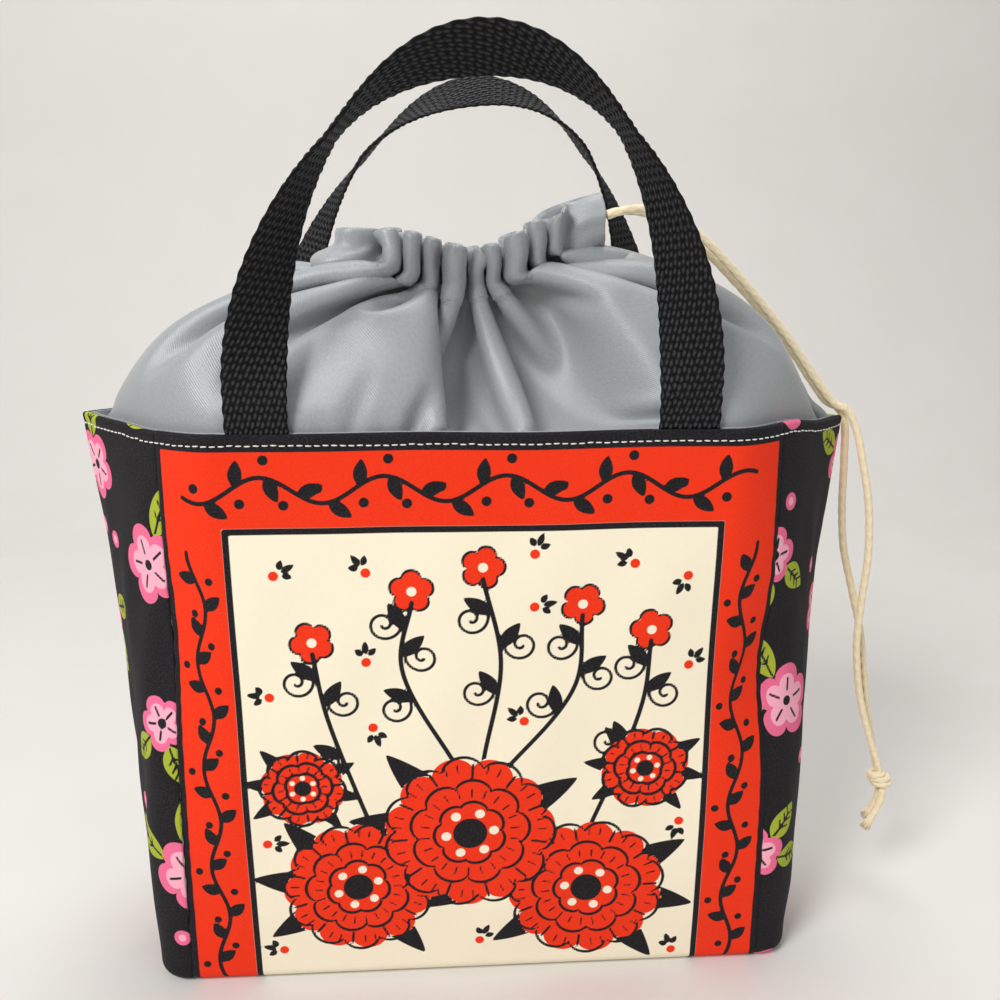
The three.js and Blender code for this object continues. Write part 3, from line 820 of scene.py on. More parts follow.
def print_stems(cloth):
    """Stems that rise from the blooms, each with a small flower on top and three leaves with tendrils."""
    for number, bends in enumerate(STEMS):
        line = smooth_route([(*bend, 0) for bend in bends], 12)[:, :2]
        cloth.stroke("black_ink", line, 0.8)
        middle = line[-1] + (0, 4)
        flower = cloth.bloom(middle, 7.5, 5, 0.3 + number, 0.32)
        cloth.add("red_ink", flower)
        cloth.add("black_ink", np.abs(flower) - 0.5)
        cloth.disc("light_ink", middle, 1.7)
        for at, side in ((8, 1), (14, -1), (19, 1)):
            base, run = line[at], unit(line[at + 1] - line[at - 1])
            out = np.array([-run[1], run[0]]) * side
            cloth.leaf("black_ink", base, base + 8 * out + 8 * run, 5)
            tendril = curl(base + 1.5 * out, math.atan2(-out[1], -out[0]), 6.0, 1.35, -side)
            cloth.stroke("black_ink", tendril, 0.55)


def print_sprigs(cloth):
    """Sprigs of three leaves and a berry in the open parts of the field."""
    for x, y, turn in SPRIGS:
        for swing, reach in ((-0.8, 5), (0, 6.4), (0.8, 5)):
            base, tip = (polar((x, y), away, turn + swing) for away in (1.4, reach))
            cloth.leaf("black_ink", base, tip, 2.3)
        cloth.disc("red_ink", polar((x, y), -1.6, turn), 1.7)


def print_blooms(cloth):
    """Large blooms low in the field: pointed leaves behind, then three rings of hatched petals."""
    for centre, radius, turn in BLOOMS:
        for wing in (-0.9, -0.2, 0.5, 2.3, 3.0, 3.7):
            cloth.leaf("black_ink", centre, polar(centre, radius * 1.42, wing), radius * 0.42)
    for centre, radius, turn in BLOOMS:
        petals = 11 if radius > 20 else 8
        whole = cloth.bloom(centre, radius, petals, turn, 0.16)
        cloth.clear(whole, "black_ink", "light_ink")
        cloth.add("red_ink", whole)
        for share, count in ((1, petals), (0.7, petals - 2), (0.42, petals - 4)):
            ring = cloth.bloom(centre, radius * share, count, turn + share, 0.16)
            cloth.add("black_ink", np.abs(ring) - 0.6)
        # Rings of short lines: how many, the first one's place, their reach outwards, and the pen
        for count, first, reach, pen in (
                (petals, 0.5, (0.74, 0.9), 0.5), (petals, 0.86, (0.8, 0.9), 0.36),
                (petals, 1.14, (0.8, 0.9), 0.36), (2 * petals, 0, (0.48, 0.58), 0.36)):
            for k in range(count):
                angle = turn + 2 * math.pi * (k + first) / count
                cloth.stroke("black_ink", [polar(centre, radius * s, angle) for s in reach], pen)
        cloth.disc("black_ink", centre, radius * 0.2)
        for k in range(6):
            dot = polar(centre, radius * 0.28, turn + 2 * math.pi * k / 6)
            cloth.disc("light_ink", dot, radius * 0.05 + 0.25)


def front_inks(x, y):
    """A cream field in a black line, a red border with a vine, and black edges."""
    cloth = Print(x, y, "red_ink", "black_ink", "light_ink")
    outside = np.maximum(np.abs(x) - FIELD_HALF, y - FIELD_TOP)
    cloth.add("red_ink", FRAME_LINE - outside)
    frame_line = np.abs(outside - FRAME_LINE / 2) - FRAME_LINE / 2
    for edge in (frame_line, BORDER_TOP - y, BORDER_HALF - np.abs(x)):
        cloth.add("black_ink", edge)
    for draw in (print_vine, print_stems, print_sprigs, print_blooms):
        draw(cloth)
    return cloth.inks


FLORAL_INKS = ("green_ink", "pink_ink", "pale_ink", "line_ink")
REPEAT_ACROSS = 46
REPEAT_UP = 58


def print_blossom(cloth, turn, radius):
    """One blossom at the origin with two leaves and a bud."""
    origin = (0, 0)
    for side in (-1, 1):
        angle = turn + 1.2 + side * 0.55
        base, tip = polar(origin, 0.8 * radius, angle), polar(origin, 2.25 * radius, angle)
        cloth.leaf("green_ink", base, tip, 9.5)
        cloth.stroke("line_ink", [base, 0.3 * base + 0.7 * tip], 0.5)
        for share in (0.3, 0.5, 0.68):
            vein = base + share * (tip - base)
            for lean in (-0.8, 0.8):
                cloth.stroke("line_ink", [vein, polar(vein, 3.4, angle + lean)], 0.42)
    whole = cloth.bloom(origin, radius, 5, turn, 0.34)
    cloth.clear(whole, "line_ink")
    cloth.add("pink_ink", whole)
    cloth.add("pale_ink", cloth.bloom(origin, radius * 0.72, 5, turn, 0.42))
    for k in range(5):
        angle = turn + 2 * math.pi * k / 5
        cloth.stroke("line_ink", [polar(origin, radius * s, angle) for s in (0.28, 0.6)], 0.5)
    cloth.disc("line_ink", origin, 1.9)
    bud = polar(origin, 1.9 * radius, turn + 3.6)
    cloth.disc("pink_ink", bud, 3.2)
    cloth.disc("pale_ink", bud, 1.5)


def floral_inks(x, y):
    """Blossoms and leafy sprigs in a half-drop repeat."""
    cloth = Print(x, y, *FLORAL_INKS)
    for column in range(-3, 4):
        for row in range(-1, 5):
            cx = column * REPEAT_ACROSS + 8 * math.sin(2.4 * row + column)
            cy = (row + 0.5 * (column % 2)) * REPEAT_UP + 18
            radius = 12.5 + 2 * math.sin(3.1 * row + 1.7 * column)
            around = np.hypot(x - cx, y - cy) < 2.6 * radius
            part = Print(x[around] - cx, y[around] - cy, *FLORAL_INKS)
            print_blossom(part, 2.4 * (row + 3 * column), radius)
            for ink, distance in part.inks.items():
                cloth.inks[ink][around] = np.minimum(cloth.inks[ink][around], distance)
    return cloth.inks


# Walls
def add_walls():
    for wall in WALLS:
        front, broad = wall == "front", wall in ("front", "back")
        cotton, inks = (front_cotton, front_inks) if front else (floral_cotton, floral_inks)
        columns, rows, coarser = 289 if broad else 145, 295, 6
        panel = layer(f"{wall}_cloth", wall, 0, CLOTH, HEIGHT, columns, rows, coarser, cotton, sewn_hem, inks)
        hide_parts(f"{wall}_panel")
        columns = 85 if broad else 41
        inside = layer(f"{wall}_lining_cloth", wall, LINING_FACE, LINING, HEIGHT, columns, 85, 1, sateen)
        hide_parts(f"{wall}_lining")
        board = layer(
            f"{wall}_fleece", wall, STIFFENER_FACE, STIFFENER, STIFFENER_TOP, columns, 75, 1, fleece)
        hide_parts(f"{wall}_stiffener")
    for name, node, face, thickness, material, slot in (
            ("base_cloth", "base_panel", 0, CLOTH, black_cotton, "black_cloth"),
            ("base_fleece", "base_stiffener", STIFFENER_FACE, STIFFENER, fleece, "fleece"),
            ("base_lining_cloth", "base_lining", LINING_FACE, LINING, sateen, "grey_cloth")):
        piece = base_layer(name, face, thickness, material)
        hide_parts(node)


add_walls()


# Topstitching
def stitches(name, centres, along, out, length, thick, material):
    """A row of sewn stitches, each a short bent thread that dips into the cloth at both ends."""
    rings, sides = 7, 6
    t = np.linspace(-1, 1, rings)
    angle = np.arange(sides) * 2 * math.pi / sides
    radius = thick / 2 * np.sqrt(np.clip(1 - np.abs(t) ** 3, 0.05, 1))
    up = np.cross(along, out)
    rise = thick * (0.28 - 0.55 * t ** 4)
    body = (centres[:, None, None] + along[:, None, None] * (t * length / 2)[None, :, None, None]
            + out[:, None, None] * (rise[:, None] + radius[:, None] * np.cos(angle))[None, ..., None]
            + up[:, None, None] * (radius[:, None] * np.sin(angle))[None, ..., None])
    one = tube_faces(rings, sides)
    faces = [[k * rings * sides + corner for corner in face] for k in range(len(centres)) for face in one]
    return add_mesh(name, body.reshape(-1, 3), faces, material)


STITCH_PITCH = 2.75
STITCH_LENGTH = 2.25
STITCH_THICK = 0.52
STITCH_WANDER, STITCH_SLANT = 0.08, 0.035


def add_topstitch():
    count = int(4 * RIM.along[-1] / STITCH_PITCH)
    rng = np.random.default_rng(5)
    even_station = np.linspace(0, 8, 4000)
    line = place(even_station, 0, HEIGHT - STITCH_DROP + 0 * even_station)
    along = distance_along(line)
    station = np.interp((np.arange(count) + 0.5) * along[-1] / count, along, even_station)
    for name, depth in (("rim_topstitch", 0.0), ("rim_topstitch_inside", LINING_FACE + LINING)):
        z = HEIGHT - STITCH_DROP + rng.normal(0, STITCH_WANDER, count)
        centres = place(station, depth, z)
        run = place(station + 0.01, depth, z) - place(station - 0.01, depth, z)
        run += rng.normal(0, STITCH_SLANT, run.shape) * np.linalg.norm(run, axis=1)[:, None]
        out = unit(centres - place(station, depth + 1, z)) * (1 if depth == 0 else -1)
        piece = stitches(name, centres, unit(run), out, STITCH_LENGTH, STITCH_THICK, white_thread)
        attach(piece, "bag")


add_topstitch()


# Handles
# Shares of the way up a leg where it begins to turn and where it has turned most, and the turns in degrees
TWIST_START, SHOULDER = 0.06, 0.64
SHOULDER_TWIST, TOP_TWIST, TWIST_EASE = 85, 45, 0.8
# Bumps of yarn in the webbing, and its thinner edges
BUMP_ROW, BUMP_WIDTH, BUMP_LENGTH = 2.65, 1.6, 2.5
BUMP_HEIGHT, BUMP_HALF, BUMP_SLANT, BUMP_ZIGZAG = 0.5, 0.46, 0.3, 0.3
BUMP_MARGIN = 0.45
WEB_CORE = 0.35
# EDGE_CROWN sets how much painted highlight the webbing's edges get.
EDGE_FADE, EDGE_HALF, EDGE_CROWN = 0.9, 0.28, 0.4
TOOTH_ROOT, TOOTH_REACH = 0.12, 0.38
WEB_COLUMNS = 88
WEB_STEP = 0.42


def twist_at(share):
    rise = np.clip((share - TWIST_START) / (SHOULDER - TWIST_START), 0, 1)
    back = smoothstep(share, SHOULDER, 1) * (SHOULDER_TWIST - TOP_TWIST)
    return np.radians(SHOULDER_TWIST * rise ** TWIST_EASE - back)


def strap_path(slump, stretch):
    """Middle line of the front strap with its directions across it and out of its face."""
    t = np.linspace(math.pi, 0, 1200)
    x = HANDLE_HALF * np.cos(t) + slump * np.sin(t) ** 2
    rise = (HANDLE_RISE + stretch) * np.sin(t)
    up = np.array([0, -math.sin(HANDLE_LEAN), math.cos(HANDLE_LEAN)])
    arch = np.array([0, -PIVOT_Y, PIVOT_Z]) + up * rise[:, None]
    arch[:, 0] = x
    z = np.linspace(INSERT_BOTTOM, PIVOT_Z, 60)[:-1]
    y = -(BASE_HALF_DEPTH + (RIM_HALF_DEPTH - BASE_HALF_DEPTH) * np.minimum(z / HEIGHT, 1))
    leg = np.stack([-HANDLE_HALF + 0 * z, y + STIFFENER_FACE + WEB_THICKNESS / 2, z], 1)
    path = np.concatenate([leg, arch, leg[::-1] * (-1, 1, 1)])
    path = even(path, WEB_STEP)
    along = np.arange(len(path)) * np.linalg.norm(path[1] - path[0])
    tangent = unit(np.gradient(path, axis=0))
    backward = np.array([0, math.cos(HANDLE_LEAN), math.sin(HANDLE_LEAN)])
    inward = unit(np.cross(backward, tangent))
    backward = np.cross(tangent, inward)
    leg_length = PIVOT_Z - INSERT_BOTTOM
    loop = (along - leg_length) / (along[-1] - 2 * leg_length)
    twist = twist_at(np.clip(1 - np.abs(1 - 2 * loop), 0, 1))[:, None]
    across = inward * np.cos(twist) + backward * np.sin(twist)
    face = inward * np.sin(twist) - backward * np.cos(twist)
    return path, across, face, along


def weave_height(across, along, shift):
    """Height of the webbing's rows of yarn bumps, each row half a bump off the last."""
    height = np.zeros(np.broadcast(across, along).shape)
    base = np.floor(along / BUMP_ROW)
    for row in (-1, 0, 1):
        number = base + row
        offset = np.mod(number + shift, 2) / 2
        from_row = along - (number + 0.5) * BUMP_ROW
        side = (across - BUMP_SLANT * from_row) / BUMP_WIDTH + offset
        from_row = from_row + BUMP_ZIGZAG * (2 * np.mod(np.floor(side), 2) - 1)
        side = np.mod(side, 1) - 0.5
        bump = 1 - (2 * from_row / BUMP_LENGTH) ** 2 - (side / BUMP_HALF) ** 2
        height = np.maximum(height, np.sqrt(np.clip(bump, 0, 1)))
    return height


def add_handle(wall, turn, slump, stretch):
    path, across, face, along = strap_path(slump * turn, stretch)
    half = WEB_WIDTH / 2
    a = np.linspace(BUMP_MARGIN - half, half - BUMP_MARGIN, WEB_COLUMNS)
    fade = np.clip((half - np.abs(a)) / EDGE_FADE, 0.35, 1)[None]
    rounds, crowns, places = [], [], []
    for sign, shift in ((1, 0), (-1, 1)):
        bump = weave_height(a[None], along[:, None], shift)
        lift = (WEB_CORE * fade ** 0.5 + BUMP_HEIGHT * bump) * sign
        yarns = path[:, None] + across[:, None] * a[None, :, None] + face[:, None] * lift[..., None]
        tooth = 0.5 + 0.5 * np.cos(2 * math.pi * along / (2 * BUMP_ROW) + sign)
        reach = (half - TOOTH_ROOT + TOOTH_REACH * tooth) * sign
        edge = [path + across * reach[:, None] + face * lift * sign for lift in (EDGE_HALF, -EDGE_HALF)]
        rounds += [yarns[:, ::sign], np.stack(edge, 1)]
        crowns += [bump[:, ::sign], np.full((len(path), 2), EDGE_CROWN)]
        places += [a[::sign], [half * sign] * 2]
    ring, crown = np.concatenate(rounds, 1), np.concatenate(crowns, 1)
    uv = np.stack(np.broadcast_arrays(np.concatenate(places)[None], along[:, None]), -1).reshape(-1, 2)
    points = ring.reshape(-1, 3) * (turn, turn, 1)
    faces = tube_faces(*ring.shape[:2])
    # Each point's crown goes to the material as painted light: a highlight on the bumps, shade in the gaps
    # and at the edges.
    piece = add_mesh(f"{wall}_strap", points, faces, webbing, uv, {"crown": crown.ravel()})
    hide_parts(f"{wall}_handle", f"{wall}_handle_left_end", f"{wall}_handle_right_end")
    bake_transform(piece)


# Both loops slump a little to the right
add_handle("front", 1, 3.5, 0)
add_handle("back", -1, 8, 2.5)


# Cover: a tube of cloth sewn inside the rim, drawn up along the cord line by relaxing it step by step
COVER_COLUMNS, COVER_ROWS = 312, 66
CORD_ROW, CHANNEL_ROW = 60, 54
HELD_ROWS = [57, 60, 62]
SEWN_ROWS = 3
COVER_INSET = COVER_FACE + 0.6
CLOTH_ROOM = 2.0
# How the cloth is cut: its height as a share of the straight way, by the place along the bag
EASE_AT = [-139, -100, -45, -10, 10, 45, 100, 139]
COVER_EASE = [1.15, 1.17, 1.15, 1.06, 1.06, 1.16, 1.17, 1.12]
# Cloth eased onto the middle of the front and back rim: the share it takes up, and how wide it runs
MIDDLE_FULLNESS, MIDDLE_SHARE = 0.45, 0.06
# Room for the handles to lean in: how far the cover draws back for each millimetre above their seam
ROOM_AT, HANDLE_ROOM = [30, 52, 84, 106], [0.2, 0.47, 0.47, 0.1]
# How far the cover's ends are drawn in from the rim's tips, left and right
DRAWN_IN = (8, 10)
# Push of the air inside at each step: its share in the middle, where it grows along the bag, and over how
# many rows it grows below the channel, left and right
COVER_PRESSURE, MIDDLE_PRESSURE = 0.02, 0.25
PRESSURE_AT, PRESSURE_ROWS = (25, 80), (40, 20)
PRESSURE_STEPS = 20
# Deep folds of the middle: the pleat each starts from, its half width in pleats, and its push outwards
COVER_FOLDS = [(1, 0.4, 0.05), (2, 0.4, 0.05), (3.5, 0.5, -0.06), (4.4, 0.3, 0.018), (5.1, 0.4, -0.06),
               (6, 0.4, 0.03), (7, 0.4, 0.03), (8, 0.4, 0.03)]
COVER_WEIGHT = 0.003
SPEED_KEPT, TOP_SPEED = 0.92, 1.5
# Strength of the cloth against stretch, shear, sharp folds, those of the doubled channel, and wide folds
STRETCH, SHEAR, FOLD, CHANNEL_FOLD, WIDE_FOLD = 0.9, 0.25, 0.16, 0.45, 0.03
# The drawn neck, its pleats from the right end on, and how its channel leans out, in degrees
NECK_LEFT, NECK_RIGHT, NECK_SIDE, NECK_OPEN = -38, 46, 9, 1.4
NECK_HEIGHT, NECK_RISE, NECK_SAG = 248, 6.5, 12.5
LOBE_RISE = 1.5
FLAT_TIP = 14
PLEATS = [5.8, 6, 10, 5.4, 5.6, 10, 6.2, 6.4, 6.4]
CHANNEL_HALF = 10
CHANNEL_STITCH = 2.6
CHANNEL_LEAN, CHANNEL_SWAY = 26, 10
VALLEY_DIP = 0.4


def sewn_loop(points, count):
    """Places round the rim where even steps of the cloth are sewn on, and the cloth's width."""
    points = np.concatenate([points, points[:1]])
    along = distance_along(points)
    share = np.arange(count) / count
    middle = sum(np.exp(-((share - at) / MIDDLE_SHARE) ** 2) for at in (0.25, 0.75))
    step = 1 - MIDDLE_FULLNESS * middle
    at = (np.cumsum(step) - step[0]) / step.sum() * along[-1]
    return *(np.interp(at, along, points[:, k]) for k in range(3)), along[-1] / step.mean()


def cord_line_z(x):
    """Height of the drawn cord line: it hangs between its two ends, the right one higher."""
    side = (x - (NECK_LEFT + NECK_RIGHT) / 2) / ((NECK_RIGHT - NECK_LEFT) / 2)
    side = np.clip(side, -1, 1)
    return NECK_HEIGHT + NECK_RISE * side + NECK_SAG * (0.5 - 0.5 * np.cos(math.pi * side)) + CHANNEL_HALF


def pleated_line(width):
    """The drawn-up cord line in plan: a hairpin whose pleats take up the width of the cloth."""
    straight, bend = NECK_RIGHT - NECK_LEFT - NECK_SIDE, math.pi * NECK_SIDE
    total = 2 * straight + bend
    s = np.linspace(0, total, 6000)
    turn = np.clip((s - straight) / bend, 0, 1) * math.pi
    after = np.maximum(s - straight - bend, 0)
    x = np.where(s < straight, NECK_RIGHT - s, NECK_LEFT + NECK_SIDE - NECK_SIDE * np.sin(turn) + after)
    y = -NECK_SIDE * np.cos(turn)
    edges = np.cumsum([FLAT_TIP, *PLEATS])
    knots = np.concatenate([edges, (total - edges)[::-1]])
    number = np.interp(s, knots, np.arange(len(knots)))
    pitch = np.interp(s, (knots[:-1] + knots[1:]) / 2, np.diff(knots))
    gathered = smoothstep(np.minimum(s, total - s), FLAT_TIP - 3, FLAT_TIP + 5)
    uneven = np.minimum(0.3 + 0.08 * pitch, 1.3) * (1 + 0.14 * np.sin(3.6 * number + 0.6))
    valley = np.cos(math.pi * number) ** 4 * gathered
    fold = uneven * (gathered - 2 * valley)
    loose = 0.1 * pitch * smoothstep(pitch, 4.5, 9) * (gathered - valley)
    slid = s - loose * np.sin(2 * math.pi * number)
    x, y = np.interp(slid, s, x), np.interp(slid, s, y)
    end = smoothstep(np.minimum(s, total - s), straight - 30, total / 2)
    sway = CHANNEL_SWAY * (1 - end) * np.sin(5.1 * number + 1)
    tilt = np.radians(90 * end - CHANNEL_LEAN + sway) * gathered

    def line(depth, out=0):
        reach = np.maximum(fold * depth + out, NECK_OPEN - NECK_SIDE)
        return x - np.sin(turn) * reach, y - np.cos(turn) * reach

    low, high = 0.0, 20.0
    for _ in range(40):
        depth = (low + high) / 2
        px, py = line(depth)
        along = np.concatenate([[0], np.cumsum(np.hypot(np.diff(px), np.diff(py)))])
        low, high = (depth, high) if along[-1] < width else (low, depth)
    at = (np.arange(COVER_COLUMNS) + 0.5) * along[-1] / COVER_COLUMNS
    column = np.interp(at, along, s)
    lean, dip, lobe = (np.interp(column, s, what) for what in (tilt, valley, end))

    def drawn(share, lift):
        """Places of a row so far above the cord line: the channel leans and its pleats open at the top."""
        grown = depth * math.sqrt(max(0, 1 - (1 - share) ** 2))
        out = np.interp(s, column, -lift * np.sin(lean))
        px, py = line(grown, out)
        px, py = np.interp(column, s, px), np.interp(column, s, py)
        pz = cord_line_z(np.interp(column, s, x)) + LOBE_RISE * lobe + lift * np.cos(lean)
        pz -= VALLEY_DIP * dip * np.maximum(lift, 0)
        return np.stack([px, py, pz], 1)

    return drawn, np.interp(column, s, number)


def near_pairs(points, reach):
    """Pairs of points in the same or neighbouring cubes of a size."""
    cube = np.floor(points / reach).astype(np.int64)
    cube -= cube.min(0) - 1
    size = cube.max(0) + 2
    key = (cube[:, 0] * size[1] + cube[:, 1]) * size[2] + cube[:, 2]
    order = np.argsort(key, kind="stable")
    kinds, first, count = np.unique(key[order], return_index=True, return_counts=True)
    found = []
    around = [(x * size[1] + y) * size[2] + z for x in (-1, 0, 1) for y in (-1, 0, 1) for z in (-1, 0, 1)]
    for move in around:
        if move < 0:
            continue
        other = np.minimum(np.searchsorted(kinds, kinds + move), len(kinds) - 1)
        hit = kinds[other] == kinds + move
        a, b = np.flatnonzero(hit), other[hit]
        pairs = count[a] * count[b]
        which = np.repeat(np.arange(len(a)), pairs)
        number = np.arange(len(which)) - np.repeat(np.cumsum(pairs) - pairs, pairs)
        p = order[first[a][which] + number // count[b][which]]
        q = order[first[b][which] + number % count[b][which]]
        keep = p < q if move == 0 else np.ones(len(p), bool)
        found.append((p[keep], q[keep]))
    return np.concatenate([f[0] for f in found]), np.concatenate([f[1] for f in found])


class Cloth:
    """A tube of cloth as a grid of points, with a slit in its channel where the cord comes out."""

    def __init__(self, points, across, up):
        self.points = points
        self.columns, self.rows = points.shape[:2]
        self.across, self.up = across, up
        self.free = np.ones(points.shape[:2])
        self.speed = np.zeros_like(points)
        self.fold = np.where(np.arange(self.rows) > CHANNEL_ROW, CHANNEL_FOLD, FOLD)[None]
        closed = np.arange(self.rows) < CHANNEL_ROW
        self.joined = np.ones((self.columns, self.rows))
        self.joined[-1] = closed
        self.joined_far = self.joined.copy()
        self.joined_far[-2] = closed

    def hold(self, near_set, far_set, rest, strength, joined=1.0):
        """Draw two sets of points to their rest distance, each pair only once."""
        a, b = self.points[near_set], self.points[far_set]
        wa, wb = self.free[near_set] * joined, self.free[far_set] * joined
        d = b - a
        length = np.sqrt((d * d).sum(-1)) + 1e-9
        d *= (strength * (length - rest) / length / np.maximum(wa + wb, 1e-9))[..., None]
        self.points[near_set] = a + d * wa[..., None]
        self.points[far_set] = b - d * wb[..., None]

    def spring(self, columns, rows, rest, strength, joined, only_push):
        """Ease every point and the one so many columns and rows on towards their rest distance."""
        far = np.roll(self.points, -columns, 0)
        low = slice(max(0, -rows), self.rows - max(0, rows))
        high = slice(max(0, rows), self.rows - max(0, -rows))
        d = far[:, high] - self.points[:, low]
        length = np.sqrt((d * d).sum(-1)) + 1e-9
        apart = length - rest
        if only_push:
            apart = np.minimum(apart, 0)
        share = 0.5 * strength * apart / length
        if columns:
            share = share * joined[:, low]
        move = d * share[..., None]
        self.points[:, low] += move * self.free[:, low, None]
        self.points[:, high] -= np.roll(move, columns, 0) * self.free[:, high, None]

    def keep_shape(self):
        count = self.columns
        for first in (0, 1):
            near_set = np.arange(first, count, 2)
            self.hold(near_set, (near_set + 1) % count, self.across, STRETCH, self.joined[near_set])
        for first in (0, 1):
            near_set = np.arange(first, self.rows - 1, 2)
            self.hold((slice(None), near_set), (slice(None), near_set + 1), self.up[:, near_set], STRETCH)
        diagonal = np.hypot(self.across, self.up)
        for rows in (1, -1):
            self.spring(1, rows, diagonal, SHEAR, self.joined, False)
        self.spring(2, 0, 2 * self.across, self.fold, self.joined_far, True)
        two = self.up[:, 1:] + self.up[:, :-1]
        self.spring(0, 2, two, FOLD, None, True)
        self.spring(4, 0, 3.75 * self.across, WIDE_FOLD, self.joined_far, True)
        self.spring(0, 4, 0.95 * (two[:, 2:] + two[:, :-2]), WIDE_FOLD, None, True)

    def out(self):
        side = np.roll(self.points, 1, 0) - np.roll(self.points, -1, 0)
        square = np.cross(side, np.gradient(self.points, axis=1))
        return square / (np.linalg.norm(square, axis=-1)[..., None] + 1e-9)

    def keep_apart(self):
        """Push folds apart that come closer than the cloth has room for."""
        points = self.points.reshape(-1, 3)
        p, q = near_pairs(points, CLOTH_ROOM)
        aside = np.abs(p // self.rows - q // self.rows)
        aside = np.minimum(aside, self.columns - aside)
        d = points[q] - points[p]
        length = np.sqrt((d * d).sum(-1)) + 1e-9
        keep = ((aside > 2) | (np.abs(p % self.rows - q % self.rows) > 2)) & (length < CLOTH_ROOM)
        p, q, d, length = p[keep], q[keep], d[keep], length[keep]
        move = d * (0.5 * (CLOTH_ROOM - length) / length)[:, None]
        shift, number = np.zeros_like(points), np.ones(len(points))
        np.add.at(shift, p, -move)
        np.add.at(shift, q, move)
        np.add.at(number, p, 1)
        np.add.at(number, q, 1)
        points = points + shift / np.maximum(number / 2, 1)[:, None] * self.free.reshape(-1, 1)
        self.points = points.reshape(self.points.shape)


def outward_push(x, pleat):
    """How hard each point is pushed outwards: by the air inside, and into or out of the deep folds."""
    row = np.arange(COVER_ROWS)
    below = smoothstep((CHANNEL_ROW - row) / np.where(x < 0, *PRESSURE_ROWS)[:, None], 0, 1)
    along = MIDDLE_PRESSURE + (1 - MIDDLE_PRESSURE) * smoothstep(np.abs(x), *PRESSURE_AT)
    push = COVER_PRESSURE * along[:, None] * below
    folded = smoothstep(row, 1, 6) * (1 - smoothstep(row, CHANNEL_ROW - 5, CHANNEL_ROW + 1))
    for at, half, fold in COVER_FOLDS:
        for number in (at, 2 * len(PLEATS) + 1 - at):
            push += fold * np.exp(-((pleat - number) / half) ** 2)[:, None] * folded
    return push


def keep_inside(loose):
    """Hold the loose cloth inside the rim, clear of leaning handles, and drawn in at both ends."""
    x, y, z = np.moveaxis(loose, -1, 0)
    rim_x, rim_y = RIM.at(np.linspace(0, 2, 2000))
    inset = np.where(z < HEIGHT + 5, COVER_INSET, COVER_FACE)
    limit = np.interp(np.abs(x) + inset * 0.7, rim_x, -rim_y) - inset
    limit = limit - np.interp(np.abs(x), ROOM_AT, HANDLE_ROOM) * np.maximum(z - PIVOT_Z, 0)
    limit = np.maximum(limit, 1)
    loose[..., 1] = np.clip(y, -limit, limit)
    tip = RIM_HALF_LENGTH - COVER_INSET - 0.9
    drawn_in = smoothstep(z, COVER_FOOT + 3, HEIGHT + 4)
    loose[..., 0] = np.clip(x, DRAWN_IN[0] * drawn_in - tip, tip - DRAWN_IN[1] * drawn_in)


def gathered_cloth(moves, settle, sweeps):
    """The cover as it hangs once its cord is drawn."""
    station = 2 - np.linspace(0, 8, 2401)[:-1]
    rim = place(station, COVER_INSET, COVER_FOOT + 0 * station)
    x, y, z, width = sewn_loop(rim, COVER_COLUMNS)
    drawn, pleat = pleated_line(width)
    px, py, pz = drawn(1, np.zeros(COVER_COLUMNS)).T
    straight = np.sqrt((px - x) ** 2 + (py - y) ** 2 + (pz - COVER_FOOT) ** 2)
    cut = np.interp(x, EASE_AT, COVER_EASE) * straight
    for _ in range(60):
        cut = (np.roll(cut, 1) + cut + np.roll(cut, -1)) / 3
    up = np.full((COVER_COLUMNS, COVER_ROWS - 1), CHANNEL_HALF / (COVER_ROWS - 1 - CORD_ROW))
    up[:, :CORD_ROW] = (cut / CORD_ROW)[:, None]
    rise = np.concatenate([0 * up[:, :1], np.cumsum(up, 1)], 1)
    start = np.stack(np.broadcast_arrays(x[:, None], y[:, None], z[:, None] + rise), -1)
    cloth = Cloth(start, width / COVER_COLUMNS, up)
    cloth.free[:, :SEWN_ROWS] = 0
    cloth.free[:, HELD_ROWS] = 0
    lift = rise[:, HELD_ROWS] - rise[:, CORD_ROW:CORD_ROW + 1]
    begin = start[:, HELD_ROWS].copy()
    push = outward_push(x, pleat)
    for step in range(moves + settle):
        share = smoothstep(min(1, (step + 1) / moves), 0, 1)
        before = cloth.points.copy()
        cloth.speed = cloth.speed * SPEED_KEPT + cloth.out() * push[..., None] * min(1, step / PRESSURE_STEPS)
        cloth.speed[..., 2] -= COVER_WEIGHT
        cloth.points += np.clip(cloth.speed, -TOP_SPEED, TOP_SPEED) * cloth.free[..., None]
        for number, row in enumerate(HELD_ROWS):
            goal = drawn(share, lift[:, number])
            cloth.points[:, row] = begin[:, number] + (goal - begin[:, number]) * share
        for _ in range(sweeps):
            cloth.keep_shape()
        keep_inside(cloth.points[:, SEWN_ROWS:])
        if step % 2 == 0:
            cloth.keep_apart()
        cloth.speed = (cloth.points - before) * cloth.free[..., None]
    return cloth.points, width, rise


def finer(grid, axis):
    """A grid with a point added between each two, on a smooth curve."""
    grid = np.moveaxis(grid, axis, 0)
    first, last = 2 * grid[:1] - grid[1:2], 2 * grid[-1:] - grid[-2:-1]
    wide = np.concatenate([first, grid, last])
    middle = (9 * (wide[1:-2] + wide[2:-1]) - wide[:-3] - wide[3:]) / 16
    made = np.empty((2 * len(grid) - 1, *grid.shape[1:]))
    made[::2], made[1::2] = grid, middle
    return np.moveaxis(made, 0, axis)


